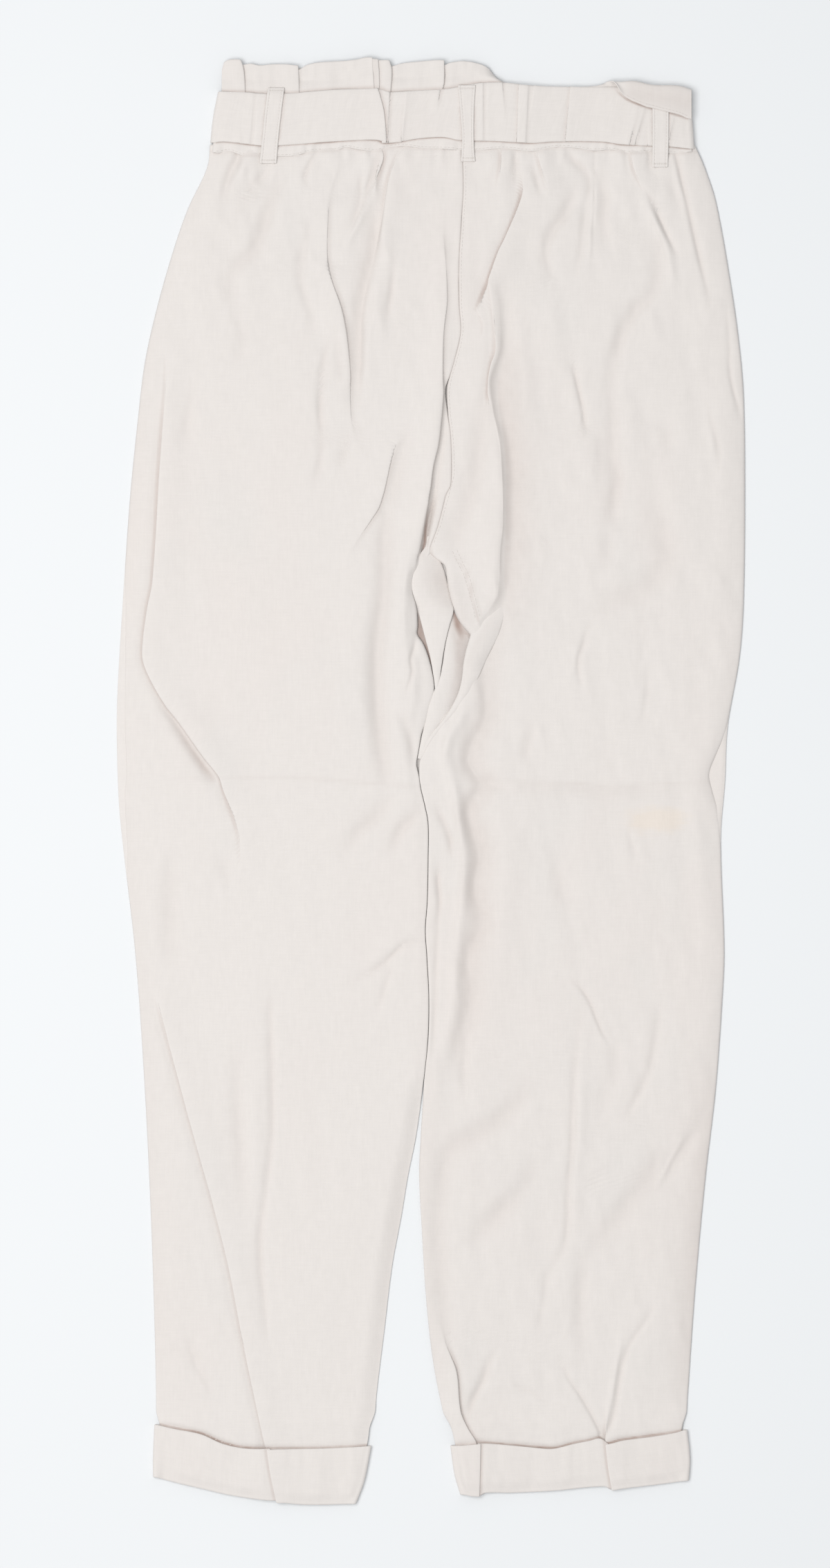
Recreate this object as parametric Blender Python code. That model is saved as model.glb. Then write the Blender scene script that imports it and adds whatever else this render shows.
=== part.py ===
"""Belted paperbag-waist trousers with tapered legs and turn-up cuffs, laid flat with the back up.

The cloth is modelled as thin walls. Two front panels lie on the surface and two back panels lie on
them. Flat-pressed rings of cloth make the waistband, the belt and the two cuffs. A frill stands
above the waistband, and three loops hold the belt at the back.

Axes: +X is to the right of the laid garment, +Y runs up to the waist and +Z is up. The origin is
the middle of the footprint, on the surface that the trousers lie on. The tables are in
millimetres.
"""
import math
from collections import namedtuple

import bpy
from mathutils import Vector

MM = 0.001

# ---------------------------------------------------------------- driving sizes, in millimetres
WALL = 1.0                 # thickness of one layer of cloth
GAP = 0.3                  # space between two pieces
PITCH = WALL + GAP         # rise from one layer to the next
GROUND = WALL / 2          # middle of a wall that lies on the surface

WAIST_Y = 457.0            # lower edge of the waistband
CUFF_TOP_Y = -462.0        # where the legs start to lie inside the cuffs
LEG_END_Y = -503.0         # where the leg cloth ends inside the cuffs
SPLIT_Y = -214.5           # below this the two legs lie apart
CROTCH_Y = 160.0           # lower end of the centre-back seam

BELT_LOW = GROUND                        # front run of the belt, against the surface
BAND_LOW = BELT_LOW + PITCH              # front run of the waistband
TUCK_LOW = BAND_LOW + PITCH              # front frill, tucked inside
TUCK_HIGH = TUCK_LOW + PITCH             # back frill, tucked inside
BAND_HIGH = TUCK_HIGH + PITCH            # back run of the waistband
BELT_HIGH = BAND_HIGH + PITCH            # back run of the belt
LOOP_HIGH = BELT_HIGH + PITCH            # loops, and the frill where it falls over the belt

EDGE_ROLL = 9.0            # width over which a panel rounds down to its edge
LOOP_WIDTH = 12.0
CUFF_CLEAR = 3.2           # how far the leg cloth stays inside the outer edge of its cuff

CLOTH_COLOUR = (0.80, 0.76, 0.72, 1.0)
CLOTH_ROUGHNESS = 0.9

# ------------------------------------------------------------------------------ outline tables
# Each row is (y, x).
OUTER_LEFT = [
    (458, -160), (445, -161.5), (415, -175.5), (385, -186), (345, -197.5), (305, -206.5),
    (265, -211.5), (205, -217.5), (125, -223), (65, -226.5), (35, -227), (-15, -225.5),
    (-55, -221.5), (-115, -214.5), (-170, -210), (-255, -205), (-350, -201), (-465, -198.5),
    (-525, -201),
]
OUTER_RIGHT = [
    (458, 190.5), (443, 198.5), (420, 206), (365, 216), (320, 222.5), (280, 226), (215, 227),
    (130, 226), (90, 223), (40, 214.5), (0, 212.5), (-40, 209.5), (-120, 212), (-150, 211),
    (-220, 206), (-285, 198.5), (-360, 191.5), (-430, 186.5), (-467, 184.5), (-525, 186),
]
# The centre seam, and below the crotch the line where the two legs meet.
CENTRE = [
    (458, 22.5), (430, 23.5), (375, 20.5), (325, 22), (285, 13.5), (230, 14.5), (198, 8.5),
    (165, -0.5), (150, 9), (125, 16), (95, 10), (70, 4.5), (35, -5.5), (15, -10), (-17, -4.5),
    (-42, -2), (-107, -4), (-155, -1.5), (-214.5, -5),
]
INNER_LEFT = [CENTRE[-1]] + [(-255, -10.5), (-315, -21.5), (-395, -33.5), (-480, -43), (-525, -55)]
INNER_RIGHT = [CENTRE[-1]] + [(-250, -6.5), (-285, -8), (-360, -4.5), (-425, 2.5), (-480, 14.5), (-525, 22)]

# How far the side seams lie in from the outline where the front panel shows: (y, left, right).
SEAM_INSET = [
    (458, 0, 0), (160, 0, 0), (125, 2.5, 0), (65, 5.5, 0), (42, 6, 0), (23, 6.5, 6), (5, 6.5, 12),
    (-10, 5, 7), (-32, 4, 2), (-50, 3, 0), (-75, 0, 0), (-525, 0, 0),
]

# ---------------------------------------------------------------------------------- fold tables
# A fold is a ridge along a line. side is +1 where the cloth to the right of the line lies on top
# and -1 where the cloth to the left does. steep and gentle are the widths of its two slopes, and
# each row of its line is (y, x, lift). A negative lift is a trough.
Fold = namedtuple("Fold", "name side steep gentle line")

FOLDS_LEFT = [
    Fold("hem pleat", +1, 3, 16, [
        (458, -156, 0), (125, -219, 0), (-75, -215, 0), (-105, -211, 0.8), (-150, -204, 1.5),
        (-210, -186, 2.2), (-285, -166, 2.5), (-360, -149, 2.5), (-440, -131, 2.3), (-482, -120, 2),
        (-520, -112, 0)]),
    Fold("side pleat", +1, 3, 18, [
        (458, -148, 0.6), (420, -164, 1), (365, -182, 1.5), (310, -191.5, 1.2), (250, -195.5, 1.5),
        (175, -200.5, 1.8), (125, -205, 2), (88, -208, 2.2), (58, -194, 3), (25, -172, 3.6),
        (-2, -152, 3), (-35, -141, 1.5), (-70, -135, 0.6), (-135, -119, 0.8), (-210, -113, 1),
        (-275, -112, 0.6), (-385, -98, 0), (-520, -88, 0)]),
    Fold("hip gather", +1, 5, 9, [
        (458, -116, 1.5), (435, -126, 2), (390, -126, 1), (350, -143, 0.6), (300, -150, 0)]),
    Fold("dart fold", -1, 5, 12, [
        (458, -68, 0.8), (415, -71.5, 2), (365, -71, 3), (325, -59, 3), (285, -56, 2.2),
        (245, -53, 1.5), (230, -52, 0.6), (180, -66, 0), (60, -90, 0), (-520, -72, 0)]),
    Fold("crease below the seat", -1, 3.5, 12, [
        (458, -33, 1.5), (425, -38, 2), (380, -46, 1), (330, -30, 0), (290, -17, 0.4), (255, -20, 1.2),
        (220, -29, 2.2), (190, -39, 2.2), (175, -51, 1.5), (162, -62, 0.4), (60, -66, 0),
        (-520, -62, 0)]),
    Fold("inner trough", +1, 8, 8, [
        (458, -12, 0), (260, -8, 0), (215, -29, -1.5), (165, -32, -2.2), (115, -34, -2.2),
        (65, -37, -2), (25, -36, -1.6), (-10, -32, -0.8), (-60, -30, 0), (-520, -56, 0)]),
    Fold("rolled inner edge", -1, 4, 15, [
        (458, 16, 0.5), (405, 16, 2), (325, 15, 3.2), (270, 9, 4), (220, 1, 4.8), (165, -10, 5.2),
        (150, -13, 5), (115, -10, 4.2), (90, -3, 3.4), (65, -2, 2.6), (35, -11, 2.4),
        (0, -14, 1.8), (-60, -8, 1), (-220, -11, 0.6), (-400, -42, 0.4), (-520, -58, 0)]),
]
FOLDS_RIGHT = [
    Fold("rolled seat fold", +1, 5, 12, [
        (458, 67, 1.5), (420, 63.5, 3), (388, 52.5, 3.6), (366, 41, 3.6), (340, 33, 2.5),
        (320, 36, 1.5), (265, 36, 1), (235, 34, 0.5), (195, 21, 0), (150, 20, 0), (120, 26, 0),
        (70, 14, 0), (30, 2, 0), (-520, 24, 0)]),
    Fold("crotch tongue", -1, 6, 17, [
        (458, 78, 0), (400, 66, 0.5), (345, 46, 2.5), (285, 42, 6), (235, 52, 7), (190, 54, 7.5),
        (145, 51, 7.2), (120, 41, 6.2), (105, 31, 5.4), (75, 24, 4.2), (55, 16, 3.2), (33, 5, 2.4),
        (0, 10, 1.6), (-40, 18, 1.8), (-135, 16, 1.6), (-235, 8, 1), (-300, 8, 0.4), (-520, 34, 0)]),
    Fold("trough beside the tongue", +1, 6, 12, [
        (458, 86, 0), (400, 76, 0), (345, 56, -1), (285, 51, -2), (190, 63, -2.4), (120, 52, -2.2),
        (75, 38, -2), (40, 33.5, -2.4), (5, 33.5, -2.6), (-35, 31, -2.6), (-85, 33.5, -2.4),
        (-135, 27.5, -2), (-185, 26, -1.6), (-235, 18, -1), (-285, 18, 0), (-520, 44, 0)]),
    Fold("seat gather", +1, 6, 10, [
        (458, 84, 1.6), (430, 92, 2), (400, 100, 1), (380, 90, 0)]),
    Fold("knee fold", -1, 5, 14, [
        (458, 118, 0.6), (415, 118, 1), (365, 114, 0.4), (300, 116, 0.8), (180, 128, 0.8),
        (100, 112, 0.6), (-100, 108, 0), (-170, 106, 1), (-235, 103, 1.3), (-335, 97, 0.8),
        (-410, 94, 0.6), (-440, 106, 1.6), (-470, 121, 2), (-520, 128, 0)]),
    Fold("pocket-side fold", +1, 4, 12, [
        (458, 142, 1), (430, 149, 1.6), (400, 163, 1.6), (370, 173, 0.8), (300, 182, 0),
        (-250, 168, 0), (-300, 158, -0.8), (-340, 140, -0.8), (-360, 138, 0), (-520, 152, 0)]),
    Fold("ankle fold", -1, 4, 7, [
        (-395, 10, 0), (-410, 13.5, 1.2), (-440, 21, 2.2), (-465, 26, 2.2), (-480, 34, 1.5),
        (-520, 38, 0)]),
]

# How high the air in the garment holds the back panels: (y, lift).
LOFT = [(458, 2.6), (430, 3.2), (300, 3), (160, 3.4), (40, 2.6), (-200, 2.4), (-420, 2), (-468, 1.2),
        (-500, 0.5), (-525, 0.5)]
# How high the front panels lie above the surface, over the belt and inside the cuffs: (y, lift).
UNDERLAP = [(470, BAND_LOW - GROUND), (455, BAND_LOW - GROUND), (449, 0.9), (438, 0), (-446, 0),
            (-458, 0.8), (-463, PITCH + 0.1), (-530, PITCH + 0.1)]

# Sections across the panels, from the waist down to the cuffs.
STATIONS = [
    WAIST_Y - GAP, 446, 432, 410, 380, 350, 320, 288, 255, 222, 192, 168, 150, 125, 100, 75, 50, 25, 0,
    -35, -85, -140, SPLIT_Y + 1, -260, -320, -380, -425, -450, -464, -484, LEG_END_Y,
]

# ------------------------------------------------------------------------- waist, belt and frill
# Upper and lower edges: (x, y). Ends of the flat-pressed ring: (share of depth, left x, right x).
BELT_TOP = [(-160, 499), (-121, 497), (-90, 498.5), (-36, 501), (-10, 499.5), (16, 501.5), (40, 504),
            (52, 505.5), (68, 503.5), (130, 502), (170, 501), (192, 499)]
BELT_BOTTOM = [(-160, 462), (-151, 463), (-121, 460), (-96, 461), (-56, 464), (-31, 462.5),
               (4, 466), (21, 464), (48, 463.5), (88, 462.5), (133, 462), (158, 460), (192, 458.6)]
BELT_ENDS = [(0, -154, 187), (0.5, -157.5, 189), (1, -159.5, 190.5)]
BAND_TOP = [(-170, 495.5), (192, 497)]
BAND_BOTTOM = [(-170, WAIST_Y), (192, WAIST_Y)]

# Soft pleats across the belt: (x at the top, x at the bottom, half-width, lift).
BELT_PLEATS = [(-134, -137, 4, 0.7), (-98, -101, 5, 0.5), (-38, -34, 3.5, 1.2), (-24, -23, 4, 0.6),
               (4, 0, 6, 0.5), (40, 39, 4, 0.6), (60, 57, 4, 0.7), (75, 70, 4, 0.8),
               (101, 96, 4, 0.8), (150, 144, 4, 0.6)]

# The frill, one row for each section: x, height and level of its crest, the angle by which the
# cloth turns over there, the depth of that turn, and the length of cloth beyond it. The angle is 0
# where the frill stands up, and half a turn where it is tucked inside the waistband or, on the
# right of the back, falls forward over the belt.
FRILL_BACK = [
    (-151, 508, 4.6, 0, 1.3, 6), (-146, 509, 5, 0, 1.3, 11.7), (-139, 509, 5.4, 0, 1.3, 11.2),
    (-135, 508, 3.8, 0, 1.3, 8.7), (-130, 508, 4.2, 0, 1.3, 10.2), (-112, 508, 4.6, 0, 1.3, 9.7),
    (-98, 507, 5, 0, 1.3, 8.7), (-94, 507, 3.8, 0, 1.3, 7.7), (-86, 508, 4.4, 0, 1.3, 10.2),
    (-66, 509, 4.8, 0, 1.3, 10.7), (-50, 510, 5.4, 0, 1.3, 11.7), (-43, 511, 6.2, 0, 1.3, 11.7),
    (-38, 510, 4, 0, 1.3, 9.7), (-33, 510, 5.2, 0, 1.3, 9.7), (-28, 509, 3.8, 0, 1.3, 8.2),
    (-20, 509, 4.4, 0, 1.3, 9.2), (-4, 510, 4.8, 0, 1.3, 9.2), (7, 511, 5.6, 0, 1.3, 9.2),
    (12, 510, 4, 0, 1.3, 8.2), (24, 511, 4.6, 0, 1.3, 8.2), (34, 511, 5, 0, 1.3, 6.7),
    (41, 509, 5.4, -30, 1.3, 5), (45, 507.5, 5.6, -60, 1.3, 3), (49, 506, BAND_HIGH, -90, 1.3, 1.4),
    (53, 504.5, BAND_HIGH, -135, 1.3, 1.2), (58, 503.5, BAND_HIGH, -180, 1.3, 3),
    (66, 503, BAND_HIGH, -180, 1.3, 12), (84, 502.5, BAND_HIGH, -180, 1.3, 16),
    (104, 502, BAND_HIGH, -180, 1.3, 12), (112, 502, BAND_HIGH, -180, 1.3, 6),
    (118, 502.5, BAND_HIGH, -180, 1.3, 2.5), (122, 503.5, BAND_HIGH, -120, 1.3, 1.2),
    (126, 503.5, BAND_HIGH, -50, 1.3, 1.8), (130, 503.5, BAND_HIGH, 30, 1.6, 1.5),
    (134, 503.8, BAND_HIGH, 90, 2.2, 2), (138, 504, BAND_HIGH, 150, 3, 3.5),
    (142, 504, BAND_HIGH, 180, 3.3, 6.5), (149, 504, BAND_HIGH, 180, 3.4, 11),
    (156, 503.8, BAND_HIGH, 180, 3.6, 14), (160, 503.6, BAND_HIGH, 180, 4, 15),
    (166, 503.6, BAND_HIGH, 180, 4, 15), (173, 503.6, BAND_HIGH, 180, 4, 16.5),
    (178, 503.4, BAND_HIGH, 180, 3.6, 18), (187, 502.8, BAND_HIGH, 180, 3.1, 20.5),
]
FRILL_FRONT = [
    (-149, 505, 1.2, 0, 1.3, 7), (-110, 505, 1.2, 0, 1.3, 9), (-60, 506, 1.2, 0, 1.3, 9.7),
    (-10, 506, 1.2, 0, 1.3, 9.7), (20, 506, 1.2, 0, 1.3, 8), (28, 505, 1.4, 0, 1.2, 5),
    (33, 502.5, 1.6, 45, 1.1, 2.5), (38, 501, BAND_LOW, 90, 1.1, 1.2),
    (43, 500, BAND_LOW, 135, 1.2, 1.5), (48, 499.3, BAND_LOW, 180, 1.3, 5),
    (60, 499.3, BAND_LOW, 180, 1.3, 11), (90, 499.3, BAND_LOW, 180, 1.3, 14),
    (140, 499.3, BAND_LOW, 180, 1.3, 14), (182, 499.3, BAND_LOW, 180, 1.3, 12),
]
FRILL_FOOT = [(-151, 499.6), (-121, 498.4), (-36, 501), (45, 501), (54, 499), (120, 498), (187, 498)]
FRILL_FOOT_END = 182.5     # the foot of the frill stops where the belt starts to turn

# Belt loops: x at the top and bottom, y at the top and bottom.
Loop = namedtuple("Loop", "name x_top x_bottom y_top y_bottom")
LOOPS = [
    Loop("belt_loop_left", -111.5, -117.5, 503, 447),
    Loop("belt_loop_centre", 25, 25, 506, 449),
    Loop("belt_loop_right", 166, 166, 499, 444.5),
]

# ---------------------------------------------------------------------------------------- cuffs
Cuff = namedtuple("Cuff", "name ends top bottom folds")
CUFFS = [
    Cuff("cuff_left",
         [(0, -200, -43), (0.6, -201, -48), (1, -201, -54)],
         [(-200, -464.5), (-166, -471), (-150, -478), (-121, -482), (-72, -481.5), (-43, -480)],
         [(-201, -501.5), (-166, -510.5), (-141, -516), (-112, -519.5), (-92, -522), (-54, -521.5)],
         [(-120, -112, 3, 14, 1, 1.2)]),
    Cuff("cuff_right",
         [(0, 14, 185.5), (0.6, 17, 187.5), (1, 21, 186.5)],
         [(14, -480), (37, -478), (88, -482), (103, -478.5), (122, -474.5), (126, -478.5),
          (158, -473.5), (185, -468)],
         [(21, -514.5), (36, -516), (58, -513.5), (88, -512), (125, -509.5), (130, -511.5),
          (168, -507), (186, -504.5)],
         [(37, 36, 2.5, 8, -1, 1.1), (124, 130, 2.5, 12, 1, 1.1)]),
]


# ------------------------------------------------------------------------------------- curves
def track(rows, at):
    """Follow a table smoothly: the values of its other columns where its first column is at."""
    step = 1 if rows[0][0] < rows[-1][0] else -1
    rows = rows[::step]
    if at <= rows[0][0]:
        return rows[0][1:]
    if at >= rows[-1][0]:
        return rows[-1][1:]
    i = next(k for k in range(len(rows) - 1) if rows[k + 1][0] >= at)
    before, a, b, after = rows[max(i - 1, 0)], rows[i], rows[i + 1], rows[min(i + 2, len(rows) - 1)]
    span = b[0] - a[0]
    t = (at - a[0]) / span
    values = []
    for column in range(1, len(a)):
        leave = span * (b[column] - before[column]) / (b[0] - before[0])
        arrive = span * (after[column] - a[column]) / (after[0] - a[0])
        values.append((2 * t**3 - 3 * t**2 + 1) * a[column] + (t**3 - 2 * t**2 + t) * leave
                      + (3 * t**2 - 2 * t**3) * b[column] + (t**3 - t**2) * arrive)
    return tuple(values)


def straight(rows, at):
    """Follow a table of two columns in straight runs."""
    step = 1 if rows[0][0] < rows[-1][0] else -1
    rows = rows[::step]
    at = min(max(at, rows[0][0]), rows[-1][0])
    i = next(k for k in range(len(rows) - 1) if rows[k + 1][0] >= at)
    a, b = rows[i], rows[i + 1]
    return a[1] + (b[1] - a[1]) * (at - a[0]) / (b[0] - a[0])


def ease(t):
    """A smooth step from 0 to 1."""
    t = min(max(t, 0.0), 1.0)
    return t * t * (3 - 2 * t)


def round_over(distance, width):
    """Height share of an edge that rounds down like a quarter of an ellipse."""
    t = min(max(distance / width, 0.0), 1.0)
    return math.sqrt(1 - (1 - t) ** 2)


# -------------------------------------------------------------------------- shape of the panels
def leg_inset(y):
    """How far the cloth of a leg draws in to lie inside its cuff."""
    return CUFF_CLEAR * ease((CUFF_TOP_Y + 8 - y) / 14)


def leg_edges(side, y):
    """Outer and inner edge of one leg at a height y, from left to right."""
    clear = leg_inset(y)
    together = y > SPLIT_Y
    half_gap = GAP / 2 if together else 0
    if side == "left":
        inner = track(CENTRE if together else INNER_LEFT, y)[0]
        return track(OUTER_LEFT, y)[0] + clear, inner - half_gap - clear
    inner = track(CENTRE if together else INNER_RIGHT, y)[0]
    return inner + half_gap + clear, track(OUTER_RIGHT, y)[0] - clear


def back_edges(side, y):
    """The same for the back panel, whose side seam may lie in from the outline."""
    left, right = leg_edges(side, y)
    inset_left, inset_right = track(SEAM_INSET, y)
    if side == "left":
        return left + inset_left, right
    return left, right - inset_right


def relief(folds, x, y):
    """Sum of the folds that cross a point."""
    total = 0.0
    for fold in folds:
        line_x, lift = track(fold.line, y)
        if not min(fold.line[0][0], fold.line[-1][0]) <= y <= max(fold.line[0][0], fold.line[-1][0]):
            continue
        across = (x - line_x) * fold.side
        reach = fold.gentle if across > 0 else fold.steep
        total += lift * math.exp(-(across / reach) ** 2)
    return total


def front_level(y):
    """Middle of the front panels' wall above the surface."""
    return GROUND + straight(UNDERLAP, y)


def back_level(side, x, y):
    """Middle of a back panel's wall above the surface."""
    left, right = back_edges(side, y)
    seam = ease((y - CROTCH_Y + 12) / 24)
    if side == "left":
        outer, inner = x - left, right - x
        folds = FOLDS_LEFT
    else:
        outer, inner = right - x, x - left
        folds = FOLDS_RIGHT
    rolled = round_over(outer, EDGE_ROLL) * (seam + (1 - seam) * round_over(inner, EDGE_ROLL))
    fade = ease((y - LEG_END_Y + 2) / 25) * ease((WAIST_Y + 3 - y) / 12 + 0.25)
    lift = straight(LOFT, y) + fade * relief(folds, x, y)
    return front_level(y) + PITCH + rolled * max(lift, 0.0)


def panel_columns(side, y):
    """Where the columns of a back panel cross a section: its edges, its folds and places between."""
    left, right = back_edges(side, y)
    if side == "left":
        hem, pleat, _, dart, crease, trough, inner = [track(f.line, y)[0] for f in FOLDS_LEFT]
        columns = [left, left + 1.2, left + 4.5, hem, pleat - 3.5, pleat, pleat + 12]
        columns += [pleat + (dart - pleat) * share for share in (0.4, 0.62, 0.84)]
        columns += [dart, dart + 5, crease - 9, crease, crease + 4, trough, trough + 8]
        columns += [inner - 8, inner, inner + 4, right - 1.2, right]
    else:
        seat, tongue, trough, _, knee, pocket, _ = [track(f.line, y)[0] for f in FOLDS_RIGHT]
        columns = [left, left + 1.2, seat - 4, seat, tongue - 9, tongue, tongue + 4, trough + 2]
        columns += [trough + (knee - trough) * share for share in (0.25, 0.5, 0.75)]
        columns += [knee - 6, knee, knee + 5, (knee + pocket) / 2, pocket - 4, pocket, pocket + 9]
        columns += [(pocket + right) / 2 + 3, right - 4.5, right - 1.2, right]
    return keep_apart(columns)


def keep_apart(columns, space=1.0):
    """Move columns that would cross to either side, and keep the two edges where they are."""
    columns = list(columns)
    last = columns[-1]
    for i in range(1, len(columns)):
        columns[i] = max(columns[i], columns[i - 1] + space)
    columns[-1] = last
    for i in range(len(columns) - 2, 0, -1):
        columns[i] = min(columns[i], columns[i + 1] - space)
    return columns


# ------------------------------------------------------------------------------------ building
def clear_scene():
    for thing in list(bpy.data.objects):
        bpy.data.objects.remove(thing, do_unlink=True)


def cloth_material(name):
    material = bpy.data.materials.new(name)
    material.use_nodes = True
    shader = material.node_tree.nodes["Principled BSDF"]
    shader.inputs["Base Color"].default_value = CLOTH_COLOUR
    shader.inputs["Roughness"].default_value = CLOTH_ROUGHNESS
    shader.inputs["Metallic"].default_value = 0.0
    return material


def add_cloth(name, points, faces):
    mesh = bpy.data.meshes.new(name)
    mesh.from_pydata(points, [], faces)
    mesh.materials.append(cloth_material(name))
    mesh.shade_smooth()
    thing = bpy.data.objects.new(name, mesh)
    bpy.context.scene.collection.objects.link(thing)
    return thing


def cloth_wall(name, rows, ring=False):
    """Make a wall of cloth from rows of points on its middle surface. A ring closes on itself."""
    count = len(rows[0])
    points = [tuple(value * MM for value in point) for row in rows for point in row]
    faces = []
    for r in range(len(rows) - 1):
        for c in range(count if ring else count - 1):
            here, beside = r * count + c, r * count + (c + 1) % count
            faces.append((here, here + count, beside + count, beside))
    thing = add_cloth(name, points, faces)
    solid = thing.modifiers.new("cloth thickness", "SOLIDIFY")
    solid.thickness = WALL * MM
    solid.offset = 0.0
    solid.use_rim = True
    return thing


def panel_wall(name, rows, least):
    """Make a wall from rows of points, with upright edges that stay clear of the next panel. Slopes
    are as thick as flat places, and no point of the underside lies below the level least(y)."""
    last_row, last_column = len(rows) - 1, len(rows[0]) - 1
    upper, lower = [], []
    for r, row in enumerate(rows):
        for c, point in enumerate(row):
            along = Vector(rows[min(r + 1, last_row)][c]) - Vector(rows[max(r - 1, 0)][c])
            across = Vector(row[min(c + 1, last_column)]) - Vector(row[max(c - 1, 0)])
            normal = across.cross(along).normalized()
            on_edge = c in (0, last_column)
            half = WALL / 2 if on_edge else WALL / 2 / max(abs(normal.z), 0.6)
            x, y, level = point
            bottom = max(level - half, least(y))
            upper.append((x * MM, y * MM, max(level + half, bottom + WALL) * MM))
            lower.append((x * MM, y * MM, bottom * MM))
    width, total = last_column + 1, len(upper)
    faces = []
    for r in range(last_row):
        for c in range(last_column):
            a, b = r * width + c, r * width + c + 1
            faces.append((a, a + width, b + width, b))
            faces.append((total + a, total + b, total + b + width, total + a + width))
    border = [c for c in range(width)]
    border += [r * width + last_column for r in range(1, last_row + 1)]
    border += [last_row * width + c for c in range(last_column - 1, -1, -1)]
    border += [r * width for r in range(last_row - 1, 0, -1)]
    for here, beside in zip(border, border[1:] + border[:1]):
        faces.append((here, beside, total + beside, total + here))
    return add_cloth(name, upper + lower, faces)


def build_back(side):
    rows = []
    for y in STATIONS:
        rows.append([(x, y, back_level(side, x, y)) for x in panel_columns(side, y)])
    panel_wall("back_" + side, rows, lambda y: front_level(y) + WALL / 2 + GAP)


def build_front(side):
    """A front panel lies flat on the surface between its two edges."""
    rows = []
    for y in STATIONS:
        left, right = leg_edges(side, y)
        columns = [left + (right - left) * share for share in (0, 0.33, 0.67, 1)]
        rows.append([(x, y, front_level(y)) for x in columns])
    panel_wall("front_" + side, rows, lambda y: 0.0)


def flat_ring(name, ends, top, bottom, low, high, shares, depths, turn_steps=6):
    """A ring of cloth pressed flat: over the top, round its right end, back below and round its
    left end. high gives the level of the upper run at a point, and at its two ends."""
    rows = []
    for depth in depths:
        left, right = track(ends, depth)
        end_level = high(None, None)
        radius = (end_level - low) / 2
        centre = low + radius
        first, last = left + WALL / 2 + radius, right - WALL / 2 - radius

        def edge_y(x):
            return straight(top, x) * (1 - depth) + straight(bottom, x) * depth

        row = []
        for share in shares:
            x = first + (last - first) * share
            row.append((x, edge_y(x), high(x, depth)))
        for i in range(1, turn_steps):
            angle = math.pi * (0.5 - i / turn_steps)
            row.append((last + radius * math.cos(angle), edge_y(last), centre + radius * math.sin(angle)))
        for share in (1, 0.75, 0.5, 0.25, 0):
            x = first + (last - first) * share
            row.append((x, edge_y(x), low))
        for i in range(1, turn_steps):
            angle = math.pi * (1.5 - i / turn_steps)
            row.append((first + radius * math.cos(angle), edge_y(first), centre + radius * math.sin(angle)))
        rows.append(row)
    return cloth_wall(name, rows, ring=True)


def belt_level(x, depth):
    """Upper run of the belt, with its soft pleats."""
    level = BELT_HIGH
    if x is None:
        return level
    for x_top, x_bottom, half_width, lift in BELT_PLEATS:
        middle = x_top + (x_bottom - x_top) * depth
        level += lift * math.exp(-((x - middle) / half_width) ** 2)
    return level


def build_belt():
    left, right = track(BELT_ENDS, 0.5)
    shares = {0.0, 1.0}
    for x_top, x_bottom, half_width, _ in BELT_PLEATS:
        middle = (x_top + x_bottom) / 2
        for x in (middle - half_width, middle, middle + half_width):
            shares.add((x - left) / (right - left))
    for x, _ in BELT_TOP[1:-1]:
        shares.add((x - left) / (right - left))
    flat_ring("belt", BELT_ENDS, BELT_TOP, BELT_BOTTOM, BELT_LOW, belt_level,
              spaced(shares, 0.012), (0, 0.5, 1))


def spaced(shares, least):
    """Sort places along a run and leave out those that crowd the one before."""
    kept = [0.0]
    for share in sorted(shares):
        if share - kept[-1] >= least and 1 - share >= least:
            kept.append(share)
    return kept + [1.0]


def build_waistband():
    """The elastic casing, which lies inside the belt and shows below it."""
    ends = [(depth, left + PITCH, right - PITCH) for depth, left, right in BELT_ENDS]
    shares = [i / 14 for i in range(15)]
    flat_ring("waistband", ends, BAND_TOP, BAND_BOTTOM, BAND_LOW, lambda x, depth: BAND_HIGH,
              shares, (0, 0.5, 1))


def build_frill(name, sections, base_level, base_y):
    """A strip above the waistband: its foot, its crest, the turn there and its free edge."""
    rows = []
    for x, crest_y, crest_level, turn, depth, length in sections:
        foot_x, foot_y = min(x, FRILL_FOOT_END), base_y(x)
        rise_y = foot_y + (crest_y - foot_y) * 0.6
        half_turn, whole_turn = math.radians(turn / 2), math.radians(turn)
        fall_y = crest_y + depth * math.cos(half_turn)
        fall_level = crest_level + depth * math.sin(half_turn)
        edge_y = fall_y + length * math.cos(whole_turn)
        edge_level = fall_level + length * math.sin(whole_turn)
        rows.append([
            (foot_x, foot_y, base_level), (foot_x, rise_y, base_level * 0.7 + crest_level * 0.3),
            (x, crest_y, crest_level), (x, fall_y, fall_level),
            (x, (fall_y + edge_y) / 2, (fall_level + edge_level) / 2), (x, edge_y, edge_level),
        ])
    return cloth_wall(name, rows)


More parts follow.
